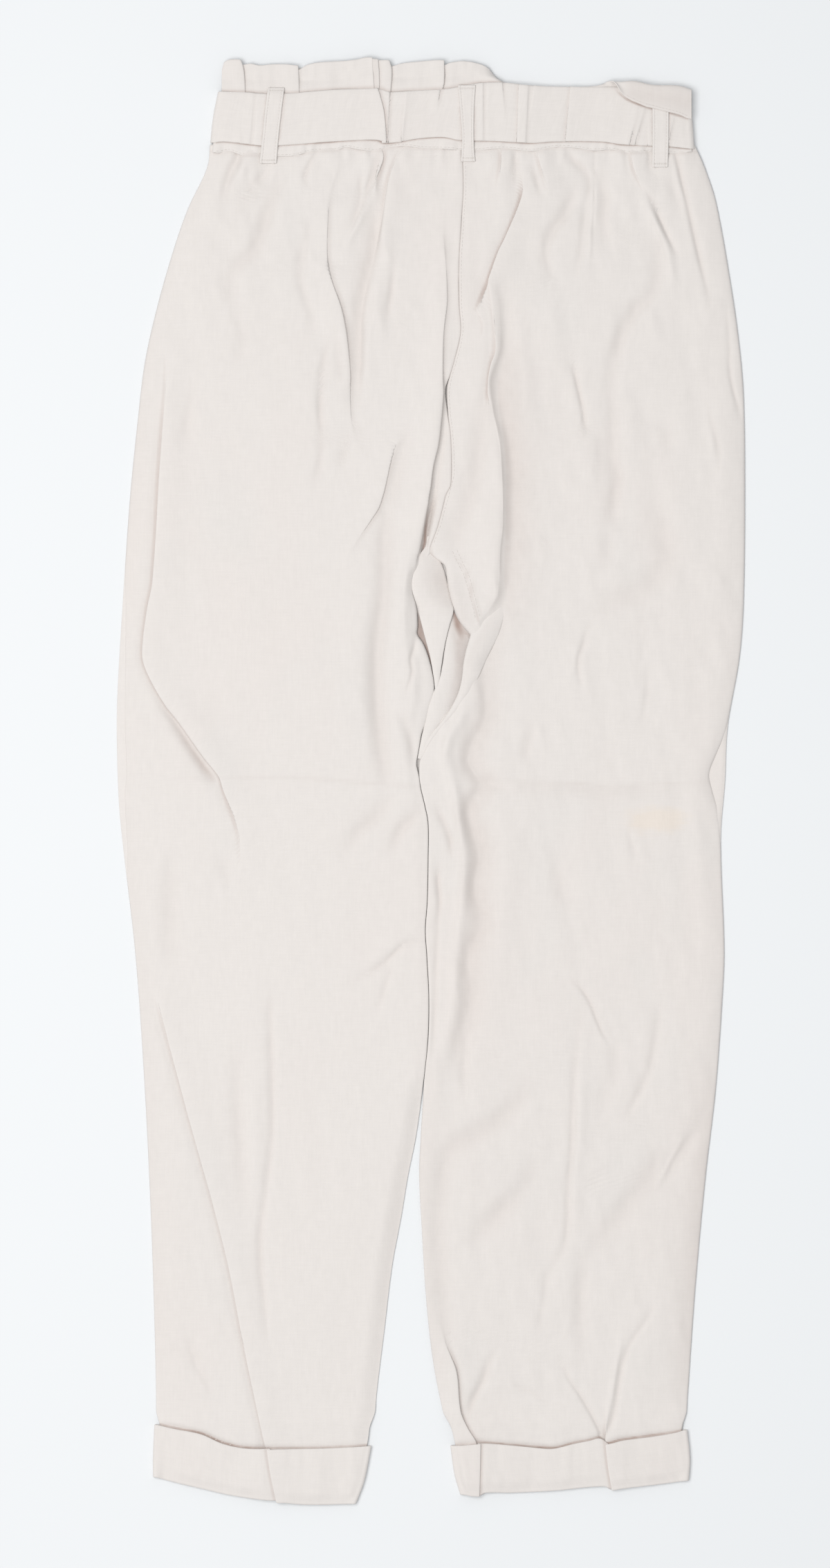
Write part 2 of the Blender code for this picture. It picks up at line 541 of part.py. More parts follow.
def build_loop(loop):
    """A loop starts above the belt, runs over it and is sewn down on the trousers below it."""
    side = "left" if (loop.x_top + loop.x_bottom) / 2 < track(CENTRE, WAIST_Y)[0] else "right"
    half = LOOP_WIDTH / 2

    def middle(y):
        return loop.x_bottom + (loop.x_top - loop.x_bottom) * (y - loop.y_bottom) / (loop.y_top - loop.y_bottom)

    belt_top = straight(BELT_TOP, loop.x_top)
    belt_bottom = straight(BELT_BOTTOM, loop.x_bottom)
    foot = max(back_level(side, loop.x_bottom + dx, y)
               for dx in (-half, 0, half) for y in (loop.y_bottom, loop.y_bottom + 5, WAIST_Y - 1))
    foot += PITCH + 0.1
    over = max(belt_level(middle(belt_top) + dx, 0.5) for dx in (-half, 0, half)) + PITCH
    if loop.y_top > belt_top:
        profile = [(loop.y_top, over - 1.1), (belt_top + 1, over)]
    else:
        profile = [(loop.y_top, over)]
    profile += [
        ((belt_top + belt_bottom) / 2, over), (belt_bottom - 1, over),
        (belt_bottom - 4.5, min(over, foot + 0.5)), (loop.y_bottom, foot),
    ]
    rows = []
    for y, level in profile:
        x = middle(y)
        rows.append([(x - half, y, level), (x, y, level + 0.1), (x + half, y, level)])
    cloth_wall(loop.name, rows)


def build_cuff(cuff):
    side = cuff.name.split("_")[1]
    upper = max(back_level(side, x, y) for y in (-466, -475, -484) for x in range(-190, 180, 5)
                if leg_edges(side, y)[0] < x < leg_edges(side, y)[1])
    end_level = front_level(-500) + 2 * PITCH + 0.4

    def high(x, depth):
        if x is None:
            return end_level
        left, right = track(cuff.ends, depth)
        inside = round_over(min(x - left, right - x) - WALL, EDGE_ROLL * 1.5)
        level = end_level + inside * (upper + PITCH - end_level) * (1 - 0.5 * depth)
        for x_top, x_bottom, steep, gentle, facing, lift in cuff.folds:
            across = (x - x_top - (x_bottom - x_top) * depth) * facing
            level += lift * math.exp(-(across / (gentle if across > 0 else steep)) ** 2)
        return level

    left, right = track(cuff.ends, 0.5)
    shares = {0.0, 1.0}
    for share in range(1, 14):
        shares.add(share / 14)
    for x_top, x_bottom, steep, _, facing, _ in cuff.folds:
        for x in ((x_top + x_bottom) / 2, (x_top + x_bottom) / 2 - facing * steep):
            shares.add((x - left) / (right - left))
    flat_ring(cuff.name, cuff.ends, cuff.top, cuff.bottom, GROUND, high,
              spaced(shares, 0.014), (0, 0.35, 0.7, 1))


def main():
    clear_scene()
    for side in ("left", "right"):
        build_front(side)
        build_back(side)
    build_waistband()
    build_belt()
    build_frill("frill_back", FRILL_BACK, BAND_HIGH, lambda x: straight(FRILL_FOOT, x))
    build_frill("frill_front", FRILL_FRONT, BAND_LOW, lambda x: straight(BAND_TOP, x) + GAP)
    for loop in LOOPS:
        build_loop(loop)
    for cuff in CUFFS:
        build_cuff(cuff)


main()
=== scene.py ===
# %% [markdown]
# # Belted paperbag-waist trousers, laid flat
#
# Summer trousers in soft ecru linen lie on their front, so the back is up: an elastic casing with a frill
# above it, a belt under three loops, two tapered legs and a turn-up cuff at each ankle. Everything is
# cloth. Each cut piece becomes one thin closed shell, and each fold is put in where the cloth has
# one. First the measured model is loaded. It holds the size and place of every piece, and nothing below
# moves or resizes it.

import math
from collections import namedtuple

import bpy
import numpy as np
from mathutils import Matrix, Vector
from mathutils.bvhtree import BVHTree


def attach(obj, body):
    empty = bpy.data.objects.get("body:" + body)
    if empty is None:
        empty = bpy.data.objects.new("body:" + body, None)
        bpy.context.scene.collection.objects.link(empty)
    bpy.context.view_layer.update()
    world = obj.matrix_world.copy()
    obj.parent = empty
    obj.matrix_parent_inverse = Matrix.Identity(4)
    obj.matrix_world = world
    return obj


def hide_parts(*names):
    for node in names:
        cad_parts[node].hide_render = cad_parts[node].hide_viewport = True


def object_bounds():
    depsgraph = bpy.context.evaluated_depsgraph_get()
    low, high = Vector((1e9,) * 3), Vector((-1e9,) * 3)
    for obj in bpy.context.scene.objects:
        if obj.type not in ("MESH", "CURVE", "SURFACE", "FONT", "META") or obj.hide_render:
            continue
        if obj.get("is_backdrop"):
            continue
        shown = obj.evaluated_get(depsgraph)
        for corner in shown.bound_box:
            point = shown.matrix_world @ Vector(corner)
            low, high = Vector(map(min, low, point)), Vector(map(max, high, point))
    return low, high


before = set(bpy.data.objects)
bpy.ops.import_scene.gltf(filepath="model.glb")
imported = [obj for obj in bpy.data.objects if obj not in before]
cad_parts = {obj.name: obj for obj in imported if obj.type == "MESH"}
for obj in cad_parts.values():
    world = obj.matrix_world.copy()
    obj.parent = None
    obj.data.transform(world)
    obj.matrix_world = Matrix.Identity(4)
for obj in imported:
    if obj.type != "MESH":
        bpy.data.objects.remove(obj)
measured_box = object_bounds()
print("measured pieces:", ", ".join(sorted(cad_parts)))

# %% [markdown]
# ## The camera
#
# A garment laid flat is looked at from straight above. A camera close by would show the tall folds in
# perspective, and one without perspective would look like a drawing. This one hangs four metres up with a
# long lens, which follows from the length of floor that it has to take in.

# %% Hang the camera over the cloth
MM = 0.001
VIEW_CENTRE = (-11.5, -1.25)  # millimetres, right and up from the middle of the trousers
VIEW_LENGTH = 1133.5  # length of floor in the view, at the level of the cloth
CAMERA_HEIGHT = 4000.0
CLOTH_LEVEL = 4.0


def add_object(name, data):
    thing = bpy.data.objects.new(name, data)
    bpy.context.scene.collection.objects.link(thing)
    return thing


camera_data = bpy.data.cameras.new("camera")
camera_data.sensor_width = 36.0
camera_data.lens = camera_data.sensor_width * (CAMERA_HEIGHT - CLOTH_LEVEL) / VIEW_LENGTH
camera = add_object("camera", camera_data)
camera.location = (VIEW_CENTRE[0] * MM, VIEW_CENTRE[1] * MM, CAMERA_HEIGHT * MM)
bpy.context.scene.camera = camera
print(f"lens: {camera_data.lens:.1f} mm")

# %% [markdown]
# ## Smooth lines from a few knots
#
# Cloth has no straight lines. A dressmaker draws a curve through a few marks on the paper, and the same
# works here, for a row of values, a column of a table or a line across the cloth. Blender's own curves
# would do it too, but numpy answers for thousands of points at once.

# %% Smooth curves
def smooth(at, values, where):
    """Follow a row of values smoothly through the places that they are given at."""
    at, values, where = np.asarray(at, float), np.asarray(values, float), np.asarray(where, float)
    order = np.argsort(at)
    at, values = at[order], values[order]
    slope = np.empty_like(values)
    slope[1:-1] = (values[2:] - values[:-2]) / (at[2:] - at[:-2])
    slope[0] = (values[1] - values[0]) / (at[1] - at[0])
    slope[-1] = (values[-1] - values[-2]) / (at[-1] - at[-2])
    i = np.clip(np.searchsorted(at, where) - 1, 0, len(at) - 2)
    span = at[i + 1] - at[i]
    t = np.clip((where - at[i]) / span, 0, 1)
    leave = (t**3 - 2 * t**2 + t) * span * slope[i]
    arrive = (t**3 - t**2) * span * slope[i + 1]
    return (2 * t**3 - 3 * t**2 + 1) * values[i] + leave + (3 * t**2 - 2 * t**3) * values[i + 1] + arrive


def table(rows, where, column=1):
    """Follow one column of a table, whose first column says where each row is."""
    rows = np.asarray(rows, float)
    return smooth(rows[:, 0], rows[:, column], where)


def drawn_line(rows, spacing, columns=2):
    """A smooth line through the rows (x, y, ...), as points about spacing millimetres apart. What a
    row leaves out of its columns is 0."""
    knots = np.array([tuple(row) + (0,) * (columns - len(row)) for row in rows], float)
    gaps = np.hypot(np.diff(knots[:, 0]), np.diff(knots[:, 1]))
    along = np.concatenate([[0.0], np.cumsum(gaps)])
    fine = np.linspace(0, along[-1], max(int(along[-1] / spacing), 2) + 1)
    return np.column_stack([smooth(along, column, fine) for column in knots.T])


print("points on a line of 30 mm:", len(drawn_line([(0, 0), (30, 0)], 1.5)))

# %% [markdown]
# ## Steps, rounded edges and slow noise
#
# Three more shapes come back in every piece: a soft step, the rounded edge of a layer of cloth, and a
# slow random wave for the tiny hills of worn cloth. The wave has a fixed seed, so the trousers come out
# alike each time.

# %% Steps and noise
def ease(t):
    """A smooth step from 0 to 1."""
    t = np.clip(t, 0.0, 1.0)
    return t * t * (3 - 2 * t)


def round_over(distance, width):
    """Height share of an edge that rounds down like a quarter of an ellipse."""
    t = np.clip(distance / width, 0.0, 1.0)
    return np.sqrt(1 - (1 - t) ** 2)


def noise(x, y, cell_x, cell_y, seed):
    """Slow random hills between -1 and 1, about cell_x wide and cell_y long."""
    lattice = np.random.default_rng(seed).uniform(-1, 1, (64, 64))
    u, v = np.asarray(x) / cell_x + 31.3, np.asarray(y) / cell_y + 31.7
    i, j = np.floor(u).astype(int), np.floor(v).astype(int)
    s, t = ease(u - i), ease(v - j)
    corner = lambda a, b: lattice[(i + a) % 64, (j + b) % 64]
    low = corner(0, 0) * (1 - s) + corner(1, 0) * s
    high = corner(0, 1) * (1 - s) + corner(1, 1) * s
    return low * (1 - t) + high * t


print("hills along one hand's breadth:", np.round(noise(np.arange(0, 100, 25.0), 0, 30, 30, 1), 2))

# %% [markdown]
# ## From a sheet of points to a mesh
#
# Every piece starts as a sheet, a grid of points (x, y, level, tone) in millimetres, where the tone says
# how much shade is painted into the colour there, in a crease or a gap. numpy works out the corners of
# all faces at once, and foreach_set hands them to Blender. The UV map `flat_cloth` keeps the place of
# each point on the cloth before it was folded, so the weave runs with the folds.

# %% Grids and meshes
def sheet_points(x, y, level):
    """A grid of points (x, y, level, tone), with no tone yet."""
    return np.stack(np.broadcast_arrays(x, y, level, 0.0), -1)


def flat_places(x, y):
    """The places of a grid of points on the unfolded cloth."""
    return np.stack(np.broadcast_arrays(x, y), -1)


def quads(grid):
    """The four corners of each square of a grid of numbers."""
    return np.stack([grid[:-1, :-1], grid[1:, :-1], grid[1:, 1:], grid[:-1, 1:]], -1).reshape(-1, 4)


def mesh_piece(name, points, faces, flat, tones):
    """A mesh object from points in millimetres. faces holds pairs of arrays: the corners of each
    face, and the numbers of their places in flat."""
    mesh = bpy.data.meshes.new(name)
    mesh.vertices.add(len(points))
    mesh.vertices.foreach_set("co", (points * MM).ravel().astype(np.float32))
    corners = np.concatenate([numbers.ravel() for numbers, _ in faces])
    places = np.concatenate([spots.ravel() for _, spots in faces])
    sizes = np.concatenate([np.full(len(numbers), numbers.shape[1]) for numbers, _ in faces])
    mesh.loops.add(len(corners))
    mesh.loops.foreach_set("vertex_index", corners.astype(np.int32))
    mesh.polygons.add(len(sizes))
    mesh.polygons.foreach_set("loop_start", (np.cumsum(sizes) - sizes).astype(np.int32))
    mesh.update(calc_edges=True)
    layer = mesh.uv_layers.new(name="flat_cloth")
    layer.data.foreach_set("uv", (flat[places] * MM).ravel().astype(np.float32))
    # Each point keeps how much shade the material paints into its colour there.
    crease = mesh.attributes.new("painted_shade_tone", "FLOAT", "POINT")
    crease.data.foreach_set("value", tones.astype(np.float32))
    mesh.shade_smooth()
    print(f"{name}: {(sizes - 2).sum()} triangles")
    return add_object(name + "_cloth", mesh)


print("squares in a grid of 3 by 4 points:", len(quads(np.arange(12).reshape(3, 4))))

# %% [markdown]
# ## Giving the sheet its thickness
#
# A single surface vanishes where it is seen from behind. Blender's Solidify modifier could thicken it,
# but the two sides of a tight fold would then touch at random. Here the points are moved out by half the
# thickness on either side, and the border gets a small rounded edge, as a turned edge of cloth has.

# %% Shell of cloth round a sheet
THIN = 0.5  # one layer of the linen
EDGE_BULGE = 0.7  # how far an edge rounds out, as a share of half the thickness


def unit(vectors):
    return vectors / np.maximum(np.linalg.norm(vectors, axis=-1, keepdims=True), 1e-9)


def border_loops(index, spot, across, along, ring):
    """The border of a grid as closed loops of points, their places and the way out of the cloth."""
    if ring:
        out_first = np.concatenate([-along[0], -along[0][:1]])
        out_last = np.concatenate([along[-1], along[-1][:1]])
        return [(index[0], spot[0], out_first), (index[-1][::-1], spot[-1][::-1], out_last[::-1])]
    walk = lambda grid: np.concatenate([grid[0], grid[1:, -1], grid[-1, -2::-1], grid[-2::-1, 0]])
    outward = np.concatenate([-along[0], across[1:, -1], along[-1, -2::-1], -across[-2::-1, 0]])
    return [(walk(index), walk(spot), outward)]


def cloth_shell(name, sheet, flat, thickness=THIN, ring=False, coarse_under=False):
    """A closed shell round a sheet whose rows run away from the waist and whose columns run to the
    right. flat holds the same places on the unfolded cloth. A ring closes across its columns, and
    flat then has one column more. With coarse_under the side that faces the floor has only every
    second row and column."""
    middle, tone = sheet[..., :3], sheet[..., 3].ravel()
    across = np.roll(middle, -1, 1) - np.roll(middle, 1, 1) if ring else np.gradient(middle, axis=1)
    along = np.gradient(middle, axis=0)
    half = unit(np.cross(along, across)) * thickness / 2
    skip = 2 if coarse_under else 1
    upper, lower = middle + half, (middle - half)[::skip, ::skip]
    index = np.arange(upper[..., 0].size).reshape(upper.shape[:2])
    under = np.arange(lower[..., 0].size).reshape(lower.shape[:2]) + index.size
    if ring:
        index, under = (np.column_stack([grid, grid[:, 0]]) for grid in (index, under))
    spot = np.arange(index.size).reshape(index.shape)
    faces = [(quads(index), quads(spot)), (quads(under)[:, ::-1], quads(spot[::skip, ::skip])[:, ::-1])]
    points = [upper.reshape(-1, 3), lower.reshape(-1, 3)]
    tones = [tone, tone.reshape(upper.shape[:2])[::skip, ::skip].ravel()]
    below = np.full(upper[..., 0].size, -1)
    below[np.arange(below.size).reshape(upper.shape[:2])[::skip, ::skip]] = under[:, :lower.shape[1]]
    for edge, edge_spot, outward in border_loops(index, spot, across, along, ring):
        made = sum(len(group) for group in points)
        bulge = middle.reshape(-1, 3)[edge] + unit(outward) * thickness / 2 * EDGE_BULGE
        rim = np.append(np.arange(made, made + len(edge) - 1), made)
        points.append(bulge[:-1])
        tones.append(tone[edge][:-1])
        faces.append((np.column_stack([edge[:-1], edge[1:], rim[1:], rim[:-1]]),
                      np.column_stack([edge_spot[:-1], edge_spot[1:], edge_spot[1:], edge_spot[:-1]])))
        here, there = slice(0, -skip, skip), slice(skip, None, skip)
        rims = [rim[k:len(rim) - skip + k:skip] for k in range(skip + 1)]
        spots = [edge_spot[k:len(rim) - skip + k:skip] for k in range(skip + 1)]
        faces.append((np.column_stack([*rims, below[edge[there]], below[edge[here]]]),
                      np.column_stack([*spots, edge_spot[there], edge_spot[here]])))
    return mesh_piece(name, np.concatenate(points), faces, flat.reshape(-1, 2), np.concatenate(tones))


print(f"two layers of the linen: {2 * THIN} mm")

# %% [markdown]
# ## Folds
#
# A fold is a line on the cloth with a few facts: which side lies on top, how wide its steep and its
# gentle side are, how high it lifts the cloth, how much cloth is tucked under its edge, and how much shade
# is painted into the colour of its crease. A cloth simulation could make folds, but not these ones in
# these places. So each fold is a row of knots (x, y, lift, tuck), where what a knot leaves out is 0.
# Without a tuck the cloth swells into a ridge or, with a negative lift, sinks into a trough, and a trough
# gets a little painted shade. With one, it really turns back under itself in an S, and its edge throws
# the thin dark shadow that makes cloth look like cloth, deepened by the shade painted along the crease.

# %% Near a line
# tone: how much shade is painted into the colour along the crease of a tucked fold
Fold = namedtuple("Fold", "name side steep gentle line tone", defaults=[0.28])
STEP = 1.5  # millimetres between the places where a fold is worked out


def beside_line(points, line, reach):
    """The points near a line: their numbers, how far each lies beside the line, where along it that
    is, the way to the side of the line, and how far past its nearest place the point lies."""
    low, high = line[:, :2].min(0) - reach, line[:, :2].max(0) + reach
    near = np.flatnonzero(((points[:, :2] > low) & (points[:, :2] < high)).all(1))
    tangent = unit(np.gradient(line[:, :2], axis=0))
    side = np.column_stack([-tangent[:, 1], tangent[:, 0]])
    offset = points[near, None, :2] - line[None, :, :2]
    nearest = np.argmin((offset**2).sum(-1), axis=1)
    picked = offset[np.arange(len(near)), nearest]
    signed = (picked * side[nearest]).sum(-1)
    past = (picked * tangent[nearest]).sum(-1)
    return near, signed, nearest + np.clip(past / STEP, -0.5, 0.5), side[nearest], past


print("a fold has:", ", ".join(Fold._fields))

# %% [markdown]
# ## Moving the cloth along a fold
#
# The sheet is lifted in two steps, one for each layer of the S, and its points slide sideways under the
# edge. Just before the edge it is pressed down a little.

# %% How a fold moves the cloth
TURN = 0.77  # where an S turns back, as a share of its steep side
EDGE_SHIFT = 1.1  # how far the middle of an S lies behind its line, as such a share
FOOT = 0.35  # how far a fold presses down the cloth before it, as a share of its lift
# painted shade: the width over which it fades beside a crease, and how much a trough gets for each millimetre
# of its depth
CREASE_SHADE_WIDTH = 1.2  # millimetres over which the dark of a crease fades
HOLLOW_SHADE_PAINT = 0.035  # tone of a hollow, for each millimetre of its depth


def s_step(q):
    """The two steps by which the layers of an S-fold rise."""
    return 0.5 / (1 + np.exp(-(q + TURN) * 4)) + 0.5 / (1 + np.exp(-(q - TURN) * 4))


def fold_cloth(sheet, fold, share):
    """Move the points of a sheet along one fold, and paint shade into the colour of its crease. share
    fades the fold, point by point."""
    points, line = sheet.reshape(-1, 4), drawn_line(fold.line, STEP, 4)
    near, signed, place, beside, past = beside_line(points, line, 2.6 * max(fold.steep, fold.gentle))
    knot = np.arange(len(line))
    lift, tuck = (np.interp(place, knot, line[:, c]) for c in (2, 3))
    fade = np.ravel(share)[near] * np.exp(-(np.maximum(np.abs(past) - STEP, 0) / (fold.gentle * 0.5)) ** 2)
    folded = np.clip(tuck / fold.steep, 0, 1)
    across = signed * fold.side - EDGE_SHIFT * fold.steep * folded
    q = across / fold.steep
    soft = np.exp(-(across / np.where(across > 0, fold.gentle, fold.steep)) ** 2)
    stepped = s_step(q) * np.exp(-(np.maximum(across, 0) / fold.gentle) ** 2)
    pressed = FOOT * np.exp(-(((q + 2.0) / 0.9) ** 2))
    points[near, 2] += lift * fade * (soft * (1 - folded) + (stepped - pressed) * folded)
    slide = tuck * fade * q * np.exp(0.5 - q * q / 2)
    points[near, :2] -= beside * (slide * fold.side)[:, None]
    before_edge = np.minimum(signed * fold.side - slide - 0.2, 0)
    # Painted shade: the colour is darkened under a tucked edge and along troughs, on top of the shadow that
    # the folded sheet throws.
    crease = np.clip(tuck / 2.5, 0, 1) * ease((-0.6 - q) / 0.6) * np.exp(-(before_edge / CREASE_SHADE_WIDTH) ** 2)
    pinch = 0.025 * np.exp(-(across / CREASE_SHADE_WIDTH) ** 2) * (fold.steep < 3) + HOLLOW_SHADE_PAINT * soft
    tone = np.maximum(fold.tone * crease, np.clip(-lift, 0, 3) * pinch * (1 - folded))
    points[near, 3] = np.maximum(points[near, 3], fade * tone)


def fold_position(fold, y):
    """Where a fold crosses the sections at y, and how strongly, from 0 to 1."""
    line = drawn_line(fold.line, STEP, 4)
    order = np.argsort(line[:, 1])
    at, x, lift, tuck = (line[order, c] for c in (1, 0, 2, 3))
    inside = ease((y - at[0]) / 40 + 0.3) * ease((at[-1] - y) / 40 + 0.3)
    strength = np.clip((np.abs(np.interp(y, at, lift)) / 3 + np.interp(y, at, tuck) / 4), 0, 1)
    shift = fold.side * EDGE_SHIFT * fold.steep * np.clip(np.interp(y, at, tuck) / fold.steep, 0, 1)
    return np.interp(y, at, x) + shift, inside * strength


print("rise of the lower and the upper layer:", np.round(s_step(np.array([-TURN, TURN])), 2))

# %% [markdown]
# ## Shades
#
# Light at the bottom of a crease has been through linen on its way, so it is dim and a little pink. The
# scene's light finds the large hollows by itself, but a slit such as the one where a leg goes into its
# cuff is finer than the points of the mesh, so its shade is painted into the colour of the cloth. A shade
# is a line of knots (x, y, tone) along such a place, and the tone says how much shade is painted there.
# Wide faint bands of painted shade are drawn the same way.

# %% Lines of shade
# A line along which shade is painted into the colour of the cloth
Shade = namedtuple("Shade", "name side sharp soft line")


def shade_cloth(sheet, shades):
    """Paint shade into the colour of a sheet's points, along lines of shade."""
    points = sheet.reshape(-1, 4)
    for shade in shades:
        line = drawn_line(shade.line, STEP, 3)
        near, signed, place, _, past = beside_line(points, line, 2.6 * max(shade.sharp, shade.soft))
        tone = np.interp(place, np.arange(len(line)), line[:, 2])
        across = signed * shade.side
        fade = np.exp(-(across / np.where(across > 0, shade.soft, shade.sharp)) ** 2)
        fade *= np.exp(-(np.maximum(np.abs(past) - STEP, 0) / shade.soft) ** 2)
        patchy = 0.85 + 0.15 * noise(points[near, 0], points[near, 1], 4, 4, 5)
        points[near, 3] = np.maximum(points[near, 3], tone * fade * patchy)


print("a shade has:", ", ".join(Shade._fields))

# %% [markdown]
# ## What the linen looks like up close
#
# Linen yarn is uneven, so the cloth shows faint streaks both ways, with the tiny hills of a plain weave
# between them. A picture of cloth could be wrapped round the mesh, but it would blur close by. A shader
# that works the threads out from the flat map stays sharp at any size. It is a node group, so that every
# piece can use it with sizes of its own. A few helpers come first, because node trees take many lines of
# the same kind.

# %% Helpers for node trees
def fill(node, *values, **named):
    """Fill inputs of a node, in turn or by name, with values or with the sockets they come from."""
    by_name = [(label.replace("_", " "), value) for label, value in named.items()]
    for label, value in [*enumerate(values), *by_name]:
        if isinstance(value, bpy.types.NodeSocket):
            node.id_data.links.new(value, node.inputs[label])
        else:
            node.inputs[label].default_value = value
    return node


def add_node(tree, kind, settings, *values, **named):
    """A new node with settings of its own, whose inputs are filled."""
    node = tree.nodes.new(kind)
    for setting, choice in settings.items():
        setattr(node, setting, choice)
    return fill(node, *values, **named)


def maths(tree, operation, *values):
    return add_node(tree, "ShaderNodeMath", {"operation": operation}, *values).outputs[0]


def mixed(tree, share, first, second):
    """A colour that goes from first to second as share goes from 0 to 1."""
    mix = add_node(tree, "ShaderNodeMix", {"data_type": "RGBA"}, Factor=share, A=first, B=second)
    return mix.outputs["Result"]


def soft_mask(tree, value, low, high):
    """A mask that goes softly from 0 to 1 as value goes from low to high."""
    mask = add_node(tree, "ShaderNodeMapRange", {"interpolation_type": "SMOOTHSTEP"}, Value=value,
                    From_Min=low, From_Max=high)
    return mask.outputs["Result"]


def stretched_noise(tree, vector, scale, detail=2.0, roughness=0.5):
    """Noise that is stretched: scale holds its features per metre in three directions."""
    stretched = add_node(tree, "ShaderNodeMapping", {}, Vector=vector, Scale=scale)
    grain = add_node(tree, "ShaderNodeTexNoise", {}, Vector=stretched.outputs["Vector"], Scale=1.0,
                     Detail=detail, Roughness=roughness)
    return grain.outputs["Fac"]


def shader_group(name, inputs, outputs):
    """An empty shader group with named sockets, and the sockets that bring what it is given."""
    group = bpy.data.node_groups.new(name, "ShaderNodeTree")
    for label, kind, value in inputs:
        socket = group.interface.new_socket(label, in_out="INPUT", socket_type="NodeSocket" + kind)
        socket.default_value = value
    for label, kind in outputs:
        group.interface.new_socket(label, in_out="OUTPUT", socket_type="NodeSocket" + kind)
    return group, group.nodes.new("NodeGroupInput").outputs

# %% The weave
THREADS = 1500.0  # threads in a metre of the cloth
ORIGIN = (0, 0, 0)


def linen_weave():
    """Shade and height of uneven plain-woven threads, from places on the flat cloth."""
    group, given = shader_group(
        "linen weave",
        [("Flat Cloth", "Vector", ORIGIN), ("Threads per Metre", "Float", THREADS), ("Slub", "Float", 1.0)],
        [("Shade", "Float"), ("Height", "Float")])
    flat = given["Flat Cloth"]
    split = add_node(group, "ShaderNodeSeparateXYZ", {}, flat)
    turns = maths(group, "MULTIPLY", given["Threads per Metre"], math.pi)
    wave = lambda axis: maths(group, "SINE", maths(group, "MULTIPLY", split.outputs[axis], turns))
    warp = stretched_noise(group, flat, (900, 60, 1))
    weft = stretched_noise(group, flat, (70, 900, 1))
    clouds = maths(group, "MULTIPLY_ADD", stretched_noise(group, flat, (260, 120, 1), detail=3), 1.1, -0.55)
    threads = maths(group, "ADD", maths(group, "SUBTRACT", maths(group, "ADD", warp, weft), 1.0), clouds)
    slub = maths(group, "MULTIPLY", threads, given["Slub"])
    hills = maths(group, "MULTIPLY_ADD", maths(group, "MULTIPLY", wave("X"), wave("Y")), 0.25, 0.5)
    add_node(group, "NodeGroupOutput", {}, Shade=slub, Height=maths(group, "MULTIPLY_ADD", slub, 0.8, hills))
    return group


weave_group = linen_weave()
print("weave group sockets:", [item.name for item in weave_group.interface.items_tree])

# %% [markdown]
# ## Colour that drifts
#
# Undyed cloth is never one colour. It drifts by a hair between a warm ecru, a faint pink and a faint
# grey, over patches as wide as a hand. A second group mixes three tints by two slow noises on the
# object's own coordinates, so weakly that nobody sees a stain.

# %% Drift between three tints
def tint_drift():
    grey = (0.7, 0.7, 0.7, 1)
    group, given = shader_group(
        "tint drift",
        [("Place", "Vector", ORIGIN), ("Cloth", "Color", grey), ("Warm", "Color", grey),
         ("Cool", "Color", grey)],
        [("Color", "Color")])
    warm_patch = soft_mask(group, stretched_noise(group, given["Place"], (7, 4, 7), detail=3), 0.42, 0.68)
    cool_patch = soft_mask(group, stretched_noise(group, given["Place"], (16, 9, 16), detail=3), 0.50, 0.74)
    warmed = mixed(group, warm_patch, given["Cloth"], given["Warm"])
    add_node(group, "NodeGroupOutput", {}, Color=mixed(group, cool_patch, warmed, given["Cool"]))
    return group


drift_group = tint_drift()
print("nodes in the drift:", len(drift_group.nodes))

# %% [markdown]
# ## One faint old stain
#
# Something yellow dried on the back of the right leg, above the knee. The group measures how far each
# place is from the middle of an ellipse, shakes that distance with noise for the ragged edge, and turns
# it into a mask that can tint any cloth.

# %% Mask of a ragged oval stain
def ragged_oval():
    """1 inside a ragged oval and 0 outside it. Size holds its half-width and half-height."""
    group, given = shader_group(
        "ragged oval",
        [("Place", "Vector", ORIGIN), ("Middle", "Vector", ORIGIN), ("Size", "Vector", (1, 1, 1))],
        [("Mask", "Float")])
    away = add_node(group, "ShaderNodeVectorMath", {"operation": "SUBTRACT"}, given["Place"], given["Middle"])
    share = add_node(group, "ShaderNodeVectorMath", {"operation": "DIVIDE"}, away.outputs[0], given["Size"])
    length = add_node(group, "ShaderNodeVectorMath", {"operation": "LENGTH"}, share.outputs[0])
    ragged = stretched_noise(group, given["Place"], (60, 140, 60), detail=5, roughness=0.65)
    nearer = maths(group, "SUBTRACT", length.outputs["Value"], 0.55)
    shaken = maths(group, "MULTIPLY_ADD", ragged, 1.1, nearer)
    add_node(group, "NodeGroupOutput", {}, Mask=soft_mask(group, shaken, 1.15, 0.45))
    return group


stain_group = ragged_oval()
print("nodes in the stain:", len(stain_group.nodes))

# %% [markdown]
# ## The cloth materials
#
# Linen is matt. Its fibres catch light at a grazing angle, which the sheen of the Principled shader
# stands for. Every value that is the same all over is set on the shader's own socket. One function makes
# the material for each piece, because they are one cloth in slightly different states of wear.

# %% A linen material
CLOTH = (0.765, 0.727, 0.700, 1)
CLOTH_WARM = (0.766, 0.722, 0.694, 1)
CLOTH_COOL = (0.757, 0.722, 0.696, 1)
# the dim pinkish brown that painted shade darkens the linen towards, in creases, gaps and cast shadows
PAINTED_SHADE = (0.38, 0.275, 0.235, 1)
STAIN = (0.805, 0.712, 0.615, 1)
STAIN_MIDDLE, STAIN_SIZE = (0.1625, -0.027, 0), (0.026, 0.011, 1)
STAIN_STRENGTH = 0.5
THREAD_HEIGHT = 0.00012  # metres that a thread stands out


def new_material(name, **look):
    """A material and its node tree, with values set on the sockets of its Principled shader."""
    material = bpy.data.materials.new(name)
    material.use_nodes = True
    return material, material.node_tree, fill(material.node_tree.nodes["Principled BSDF"], **look)


